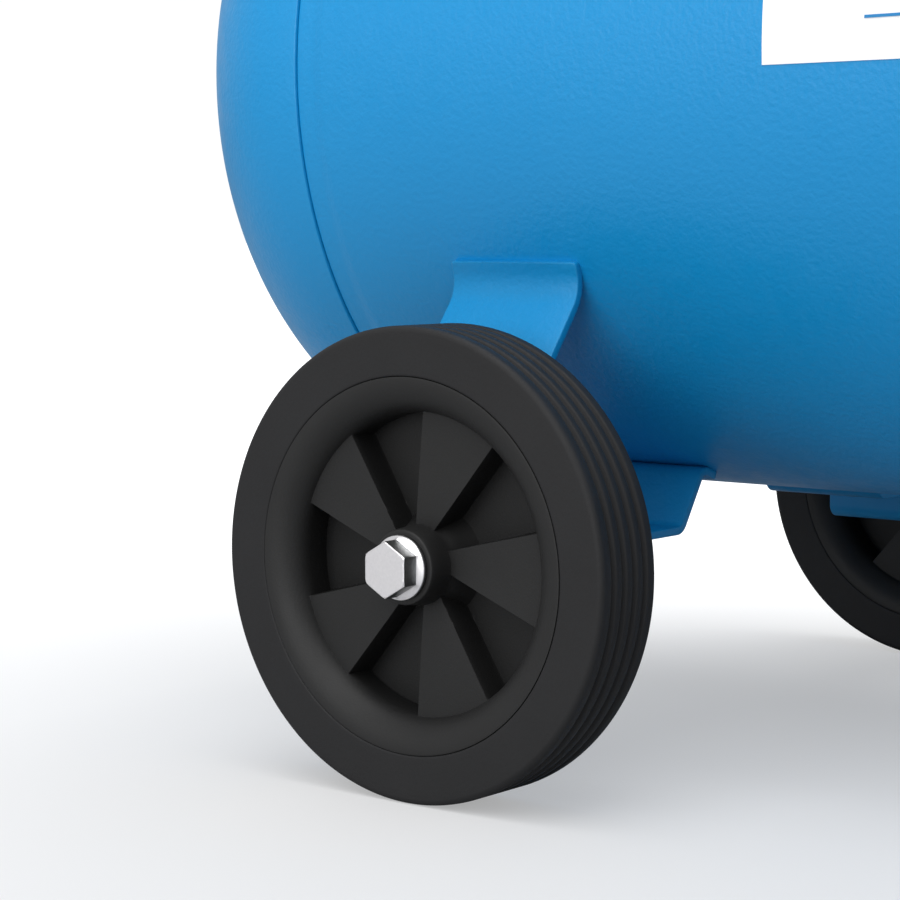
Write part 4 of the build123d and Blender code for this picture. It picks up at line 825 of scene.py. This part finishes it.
# flanged hexagon bolts and washers
def hex_bolt_mesh(name, side):
    """Outer head of the wheel bolt: flange with a sloped top, chamfered hexagon with a corner up."""
    ybase = -(WY_OUT + 1.35 + 0.35)
    tall = 8.4
    verts, faces = [], []
    T = 180
    prof_r = [0.0]
    rad = 16.0 / 2 / math.cos(math.radians(30))

    def hexr(th):
        # distance to the hexagon side, corners at 90 degrees (straight up)
        t = (th - 90.0 + 30.0) % 60.0 - 30.0
        return 8.0 / math.cos(math.radians(30.0 - abs(t)))
    rings = []
    R_ = 7.35
    for th_i in range(T):
        th = 360.0 * th_i / T
        hr_ = hexr(th)
        top = ybase - tall
        # chamfer: a cone that starts at radius 8.6 on the top and falls at 30 degrees
        cone = (hr_ - 8.6) * math.tan(math.radians(30)) if hr_ > 8.6 else 0.0
        flat = min(8.6, hr_ - 0.22)
        ring = [(0.0, top), (3.0, top), (6.4, top), (7.6, top), (flat, top), (max(flat + 0.06, hr_ - 0.10), top + cone * 0.8 + 0.05), (hr_, top + cone + 0.22),
                (hr_, ybase - 3.4), (hr_, ybase - 2.35), (hr_ + 0.22, ybase - 2.1), (9.95, ybase - 1.55), (10.3, ybase - 1.38), (10.45, ybase - 1.1), (10.45, ybase - 0.35), (10.3, ybase - 0.06), (10.1, ybase), (5.2, ybase)]
        rings.append((th, ring))
    m = len(rings[0][1])
    for th, ring in rings:
        c, s = math.cos(math.radians(th)), math.sin(math.radians(th))
        for r, y in ring:
            verts.append((WX + r * c, y, WZ + r * s))
    for j in range(T):
        k = (j + 1) % T
        for i in range(m - 1):
            faces.append((j * m + i, j * m + i + 1, k * m + i + 1, k * m + i))
    # the ring closes on the flange's washer side; the shank is a separate piece
    ob = make_obj(name, verts, faces, True, 24)
    return ob


bolt_r = hex_bolt_mesh("wheel_bolt_head_right", -1)
bolt_l = mirror_copy(bolt_r, "wheel_bolt_head_left")


def hex_prism(name, af, c, axis, h, chamfer=0.6, bore=0.0, turn=0.0, ring=48):
    """Hexagon nut or bolt head with chamfered corners; c is the base centre, axis a unit vector, h height."""
    ax = Vector(axis).normalized()
    ref = Vector((0, 0, 1)) if abs(ax.z) < 0.9 else Vector((1, 0, 0))
    u = ref.cross(ax).normalized()
    v = ax.cross(u)
    verts, faces = [], []
    T = 72
    ri = af / 2
    for j in range(T):
        th = 360.0 * j / T
        t = (th + turn + 30.0) % 60.0 - 30.0
        hr_ = ri / math.cos(math.radians(t))
        cut = max(0.0, (hr_ - ri * 0.97)) * math.tan(math.radians(30))
        ring_ = [(bore if bore else 0.001, 0), (ri * 0.9, 0), (min(ri * 0.97, hr_), 0), (hr_, cut), (hr_, h - cut), (min(ri * 0.97, hr_), h), (ri * 0.9, h), (bore if bore else 0.001, h)]
        cs, sn = math.cos(math.radians(th)), math.sin(math.radians(th))
        for r, d in ring_:
            p = Vector(c) + ax * d + u * (r * cs) + v * (r * sn)
            verts.append(tuple(p))
    m = 8
    for j in range(T):
        k = (j + 1) % T
        for i in range(m - (0 if bore else 1)):
            i2 = (i + 1) % m
            faces.append((j * m + i, j * m + i2, k * m + i2, k * m + i))
    return make_obj(name, verts, faces, True, 24)


def rod_y(name, r, y0, y1, x, z, segs=48):
    return lathe(name, [(0.001, y0), (r - 0.3, y0), (r, y0 + 0.3), (r, y1 - 0.3), (r - 0.3, y1), (0.001, y1)], "y", (x, 0, z), segs, False, 50)


for side, tag, head_ob in ((-1, "right", bolt_r), (1, "left", bolt_l)):
    put(head_ob, "frame", M["zinc_bolt"], ("wheel_bolts",))
    shank = rod_y("wheel_bolt_shank_" + tag, 5.0, -(WY_OUT + 1.6), -141.5, WX, WZ)
    slv = lathe("axle_sleeve_" + tag, [(5.2, -(WY_OUT + 1.6)), (7.0, -(WY_OUT + 1.6)), (7.0, -161.2), (5.2, -161.2)], "y", (WX, 0, WZ), 64, True, 30)
    spc = lathe("wheel_spacer_" + tag, [(5.2, -161.2), (11.6, -161.2), (12.0, -160.8), (12.0, -157.4), (11.6, -157.0), (5.2, -157.0)], "y", (WX, 0, WZ), 64, True, 30)
    nt = hex_prism("wheel_nut_" + tag, 16.0, (WX, -153.95, WZ), (0, 1, 0), 8.4, bore=5.0, turn=30)
    for o in (shank, slv, spc, nt):
        if side > 0:
            for v in o.data.vertices:
                v.co.y = -v.co.y
            o.data.flip_normals()
        put(o, "frame", M["zinc_steel"], ("wheel_bolts",))



# ------------------------------------------------------------------ gauges: printed dials under the glass
def disc_y(name, r, y0, y1, x, z, segs=96):
    return lathe(name, [(0.001, y0), (r - 0.15, y0), (r, y0 + 0.15), (r, y1), (0.001, y1)], "y", (x, 0, z), segs, False, 50)


def bar_verts(cx_, cz_, ang, r0, r1, w, y0, y1):
    c, s_ = math.cos(math.radians(ang)), math.sin(math.radians(ang))
    out = []
    for y in (y0, y1):
        for rr, t in ((r0, -w / 2), (r1, -w / 2), (r1, w / 2), (r0, w / 2)):
            out.append((cx_ + rr * c - t * s_, y, cz_ + rr * s_ + t * c))
    return out


def boxes_obj(name, sets):
    verts, faces = [], []
    for vs in sets:
        o = len(verts)
        verts += vs
        faces += [(o, o + 1, o + 2, o + 3), (o + 7, o + 6, o + 5, o + 4), (o, o + 4, o + 5, o + 1), (o + 1, o + 5, o + 6, o + 2), (o + 2, o + 6, o + 7, o + 3), (o + 3, o + 7, o + 4, o)]
    return make_obj(name, verts, faces, False)


def arc_band(name, cx_, cz_, r0, r1, a0, a1, y0, y1, n=40):
    verts, faces = [], []
    for i in range(n + 1):
        a = math.radians(a0 + (a1 - a0) * i / n)
        for y in (y0, y1):
            for rr in (r0, r1):
                verts.append((cx_ + rr * math.cos(a), y, cz_ + rr * math.sin(a)))
    for i in range(n):
        o, q = i * 4, (i + 1) * 4
        faces += [(o, o + 1, q + 1, q), (o + 2, q + 2, q + 3, o + 3), (o, q, q + 2, o + 2), (o + 1, o + 3, q + 3, q + 1)]
    faces += [(0, 2, 3, 1), (n * 4, n * 4 + 1, n * 4 + 3, n * 4 + 2)]
    return make_obj(name, verts, faces, False)


def digits(name, items, size, y, mat):
    """Plain numerals standing a hair off the dial, facing -Y."""
    parts = []
    for txt, x, z in items:
        cu = bpy.data.curves.new(name + "_" + txt, "FONT")
        cu.body = txt
        cu.size = size * MM
        cu.extrude = 0.04 * MM
        cu.align_x = "CENTER"
        cu.align_y = "CENTER"
        cu.resolution_u = 4
        tmp = bpy.data.objects.new(name + "_tmp", cu)
        col.objects.link(tmp)
        bpy.context.view_layer.update()
        me = bpy.data.meshes.new_from_object(tmp.evaluated_get(bpy.context.evaluated_depsgraph_get()))
        me.transform(Matrix.Translation((x * MM, y * MM, z * MM)) @ Matrix.Rotation(math.radians(90), 4, "X"))
        parts.append(me)
        bpy.data.objects.remove(tmp)
        bpy.data.curves.remove(cu)
    bm = bmesh.new()
    for me in parts:
        bm.from_mesh(me)
        bpy.data.meshes.remove(me)
    bmesh.ops.remove_doubles(bm, verts=bm.verts, dist=1e-7)
    out = bpy.data.meshes.new(name)
    bm.to_mesh(out)
    bm.free()
    ob = bpy.data.objects.new(name, out)
    out.materials.append(mat)
    col.objects.link(ob)
    return ob


for tag, node_n, r, face in (("tank", "tank_gauge_needle", 25.0, -52.0), ("outlet", "outlet_gauge_needle", 20.0, -45.0)):
    nl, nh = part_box(node_n)
    # the needle's hub sits at the dial's centre: the CAD places both on the case's axis
    gx = {"tank": (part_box("pressure_switch_base")[0].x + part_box("pressure_switch_base")[1].x) / 2 / MM, "outlet": (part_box("regulator_knob")[0].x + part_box("regulator_knob")[1].x) / 2 / MM}[tag]
    gz = 440.0
    yd = face + 7.9
    card = disc_y("dial_card_" + tag, r - 2.6, yd - 0.5, yd, gx, gz)
    put(card, "frame", M["dial_white"])
    yt = yd - 0.5
    ticks = []
    for i in range(51):
        a = 225.0 - 270.0 * i / 50.0
        if i % 10 == 0:
            ticks.append(bar_verts(gx, gz, a, r * 0.66, r * 0.82, 0.55, yt - 0.06, yt + 0.05))
        elif i % 5 == 0:
            ticks.append(bar_verts(gx, gz, a, r * 0.71, r * 0.82, 0.38, yt - 0.06, yt + 0.05))
        else:
            ticks.append(bar_verts(gx, gz, a, r * 0.76, r * 0.82, 0.22, yt - 0.06, yt + 0.05))
    tk = boxes_obj("dial_ticks_" + tag, ticks)
    put(tk, "frame", M["dial_ink"])
    arc = arc_band("dial_arc_" + tag, gx, gz, r * 0.82, r * 0.835, -45.0, 225.0, yt - 0.06, yt + 0.05, 80)
    put(arc, "frame", M["dial_ink"])
    red = arc_band("dial_red_zone_" + tag, gx, gz, r * 0.775, r * 0.815, -45.0, 9.0, yt - 0.04, yt + 0.05, 24)
    put(red, "frame", M["dial_red"])
    items = []
    for i in range(6):
        a = math.radians(225.0 - 54.0 * i)
        items.append((str(2 * i), gx + r * 0.53 * math.cos(a), gz + r * 0.53 * math.sin(a)))
    dg = digits("dial_numbers_" + tag, items, r * 0.17, yt - 0.02, M["dial_ink"])
    put(dg, "frame", M["dial_ink"])


# ------------------------------------------------------------------ floor, light, camera
bpy.ops.mesh.primitive_plane_add(size=1.0, location=(0, 0, -0.00085))
floor = bpy.context.object
floor.name = "studio_floor"
floor.scale = (40, 40, 1)
FLOOR_ALB = 0.40
# The floor glows for camera rays only, a painted light: weakest near the product, a painted shadow, and stronger with
# distance.
FLOOR_PAINTED_GLOW = (0.40, 0.38, 0.37, 0.45, 0.58, 0.70, 0.86)
k = Mat("studio_floor_painted_light")
fn = k.noise(3.0, 3.0, 0.5)
geo = k.node("ShaderNodeNewGeometry")
dist_n = k.node("ShaderNodeVectorMath", operation="DISTANCE")
k.link(geo.outputs["Position"], dist_n.inputs[0])
dist_n.inputs[1].default_value = (0.0, -0.1, 0.0)
painted_shadow_ramp = k.node("ShaderNodeValToRGB")
scale_d = k.node("ShaderNodeMath", operation="MULTIPLY", use_clamp=True)
k.link(dist_n.outputs["Value"], scale_d.inputs[0])
scale_d.inputs[1].default_value = 0.5            # 2 m maps to 1
k.link(scale_d.outputs[0], painted_shadow_ramp.inputs["Fac"])
PAINTED_GLOW_STOPS = [(0.05, FLOOR_PAINTED_GLOW[0]), (0.125, FLOOR_PAINTED_GLOW[1]), (0.178, FLOOR_PAINTED_GLOW[2]), (0.23, FLOOR_PAINTED_GLOW[3]), (0.34, FLOOR_PAINTED_GLOW[4]), (0.45, FLOOR_PAINTED_GLOW[5]), (0.9, FLOOR_PAINTED_GLOW[6])]
els = painted_shadow_ramp.color_ramp.elements
painted_shadow_ramp.color_ramp.interpolation = "B_SPLINE"
els[0].position, els[0].color = PAINTED_GLOW_STOPS[0][0], (PAINTED_GLOW_STOPS[0][1],) * 3 + (1,)
els[1].position, els[1].color = PAINTED_GLOW_STOPS[-1][0], (PAINTED_GLOW_STOPS[-1][1],) * 3 + (1,)
for p_, v_ in PAINTED_GLOW_STOPS[1:-1]:
    e_ = els.new(p_)
    e_.color = (v_,) * 3 + (1,)
pale = k.mix(k.ramp(fn, 0.0, 1.0), (FLOOR_ALB * 0.985, FLOOR_ALB * 0.99, FLOOR_ALB, 1), (FLOOR_ALB, FLOOR_ALB * 1.005, FLOOR_ALB * 1.015, 1))
k.set(Base_Color=pale, Roughness=k.ramp(fn, 0.55, 0.62))
k.b.inputs["Specular IOR Level"].default_value = 0.1
lpf = k.node("ShaderNodeLightPath")
painted_camera_glow = k.node("ShaderNodeMath", operation="MULTIPLY")
sepp = k.node("ShaderNodeSeparateXYZ")
k.link(geo.outputs["Position"], sepp.inputs[0])
# Painted light: the floor glows more behind the product, towards +Y.
painted_light_behind = k.node("ShaderNodeMapRange", interpolation_type="SMOOTHSTEP")
painted_light_behind.inputs["From Min"].default_value = 0.02
painted_light_behind.inputs["From Max"].default_value = 0.32
painted_light_behind.inputs["To Min"].default_value = 0.0
painted_light_behind.inputs["To Max"].default_value = 0.21
k.link(sepp.outputs["Y"], painted_light_behind.inputs["Value"])
gsum = k.node("ShaderNodeMath", operation="ADD")
k.link(painted_shadow_ramp.outputs["Color"], gsum.inputs[0])
k.link(painted_light_behind.outputs["Result"], gsum.inputs[1])
k.link(gsum.outputs[0], painted_camera_glow.inputs[0])
k.link(lpf.outputs["Is Camera Ray"], painted_camera_glow.inputs[1])
k.link(painted_camera_glow.outputs[0], k.b.inputs["Emission Strength"])
k.b.inputs["Emission Color"].default_value = (0.99, 0.995, 1, 1)
floor.data.materials.append(k.m)

world = bpy.data.worlds.new("studio_world")
scene.world = world
world.use_nodes = True
wt = world.node_tree
bg = wt.nodes["Background"]
bg.inputs["Color"].default_value = (0.97, 0.98, 1.0, 1)
bg.inputs["Strength"].default_value = 0.55
bg_seen = wt.nodes.new("ShaderNodeBackground")
bg_seen.inputs["Color"].default_value = (1.0, 1.0, 1.0, 1)
bg_seen.inputs["Strength"].default_value = 1.02
lp = wt.nodes.new("ShaderNodeLightPath")
mx = wt.nodes.new("ShaderNodeMixShader")
wt.links.new(lp.outputs["Is Camera Ray"], mx.inputs[0])
wt.links.new(bg.outputs[0], mx.inputs[1])
wt.links.new(bg_seen.outputs[0], mx.inputs[2])
wt.links.new(mx.outputs[0], wt.nodes["World Output"].inputs["Surface"])


def area(name, loc, target, size, power, size_y=None, colour=(1, 1, 1)):
    d = bpy.data.lights.new(name, "AREA")
    d.energy = power
    d.color = colour
    if size_y:
        d.shape = "RECTANGLE"
        d.size_y = size_y
    d.size = size
    o = bpy.data.objects.new(name, d)
    col.objects.link(o)
    o.location = loc
    o.rotation_euler = (Vector(target) - Vector(loc)).to_track_quat("-Z", "Y").to_euler()
    return o


area("key_soft", (0.2, -1.6, 2.6), (-0.1, 0, 0.25), 2.4, 44.0, 2.4)
area("top_soft", (0.0, 0.2, 3.0), (0.0, 0, 0.2), 2.6, 40.0, 2.6)
area("front_soft", (-0.1, -2.9, 0.9), (-0.1, 0, 0.25), 2.8, 36.0, 1.8)

cam_d = bpy.data.cameras.new("camera")
cam = bpy.data.objects.new("camera", cam_d)
col.objects.link(cam)
yaw, pitch = 0.6723, 0.0893
look = Vector((-math.sin(yaw) * math.cos(pitch), math.cos(yaw) * math.cos(pitch), -math.sin(pitch)))
cam.location = (0.50108 + WX * MM, -0.79709, 0.18383)
cam.rotation_euler = look.to_track_quat("-Z", "Y").to_euler()
cam_d.sensor_fit = "HORIZONTAL"
cam_d.sensor_width = 36.0
cam_d.lens = 2488.95 / 900.0 * 36.0
cam_d.clip_start = 0.02
cam_d.clip_end = 60.0
scene.camera = cam

scene.view_settings.view_transform = "Standard"
scene.view_settings.look = "None"
scene.view_settings.exposure = 0.0
scene.view_settings.gamma = 1.0
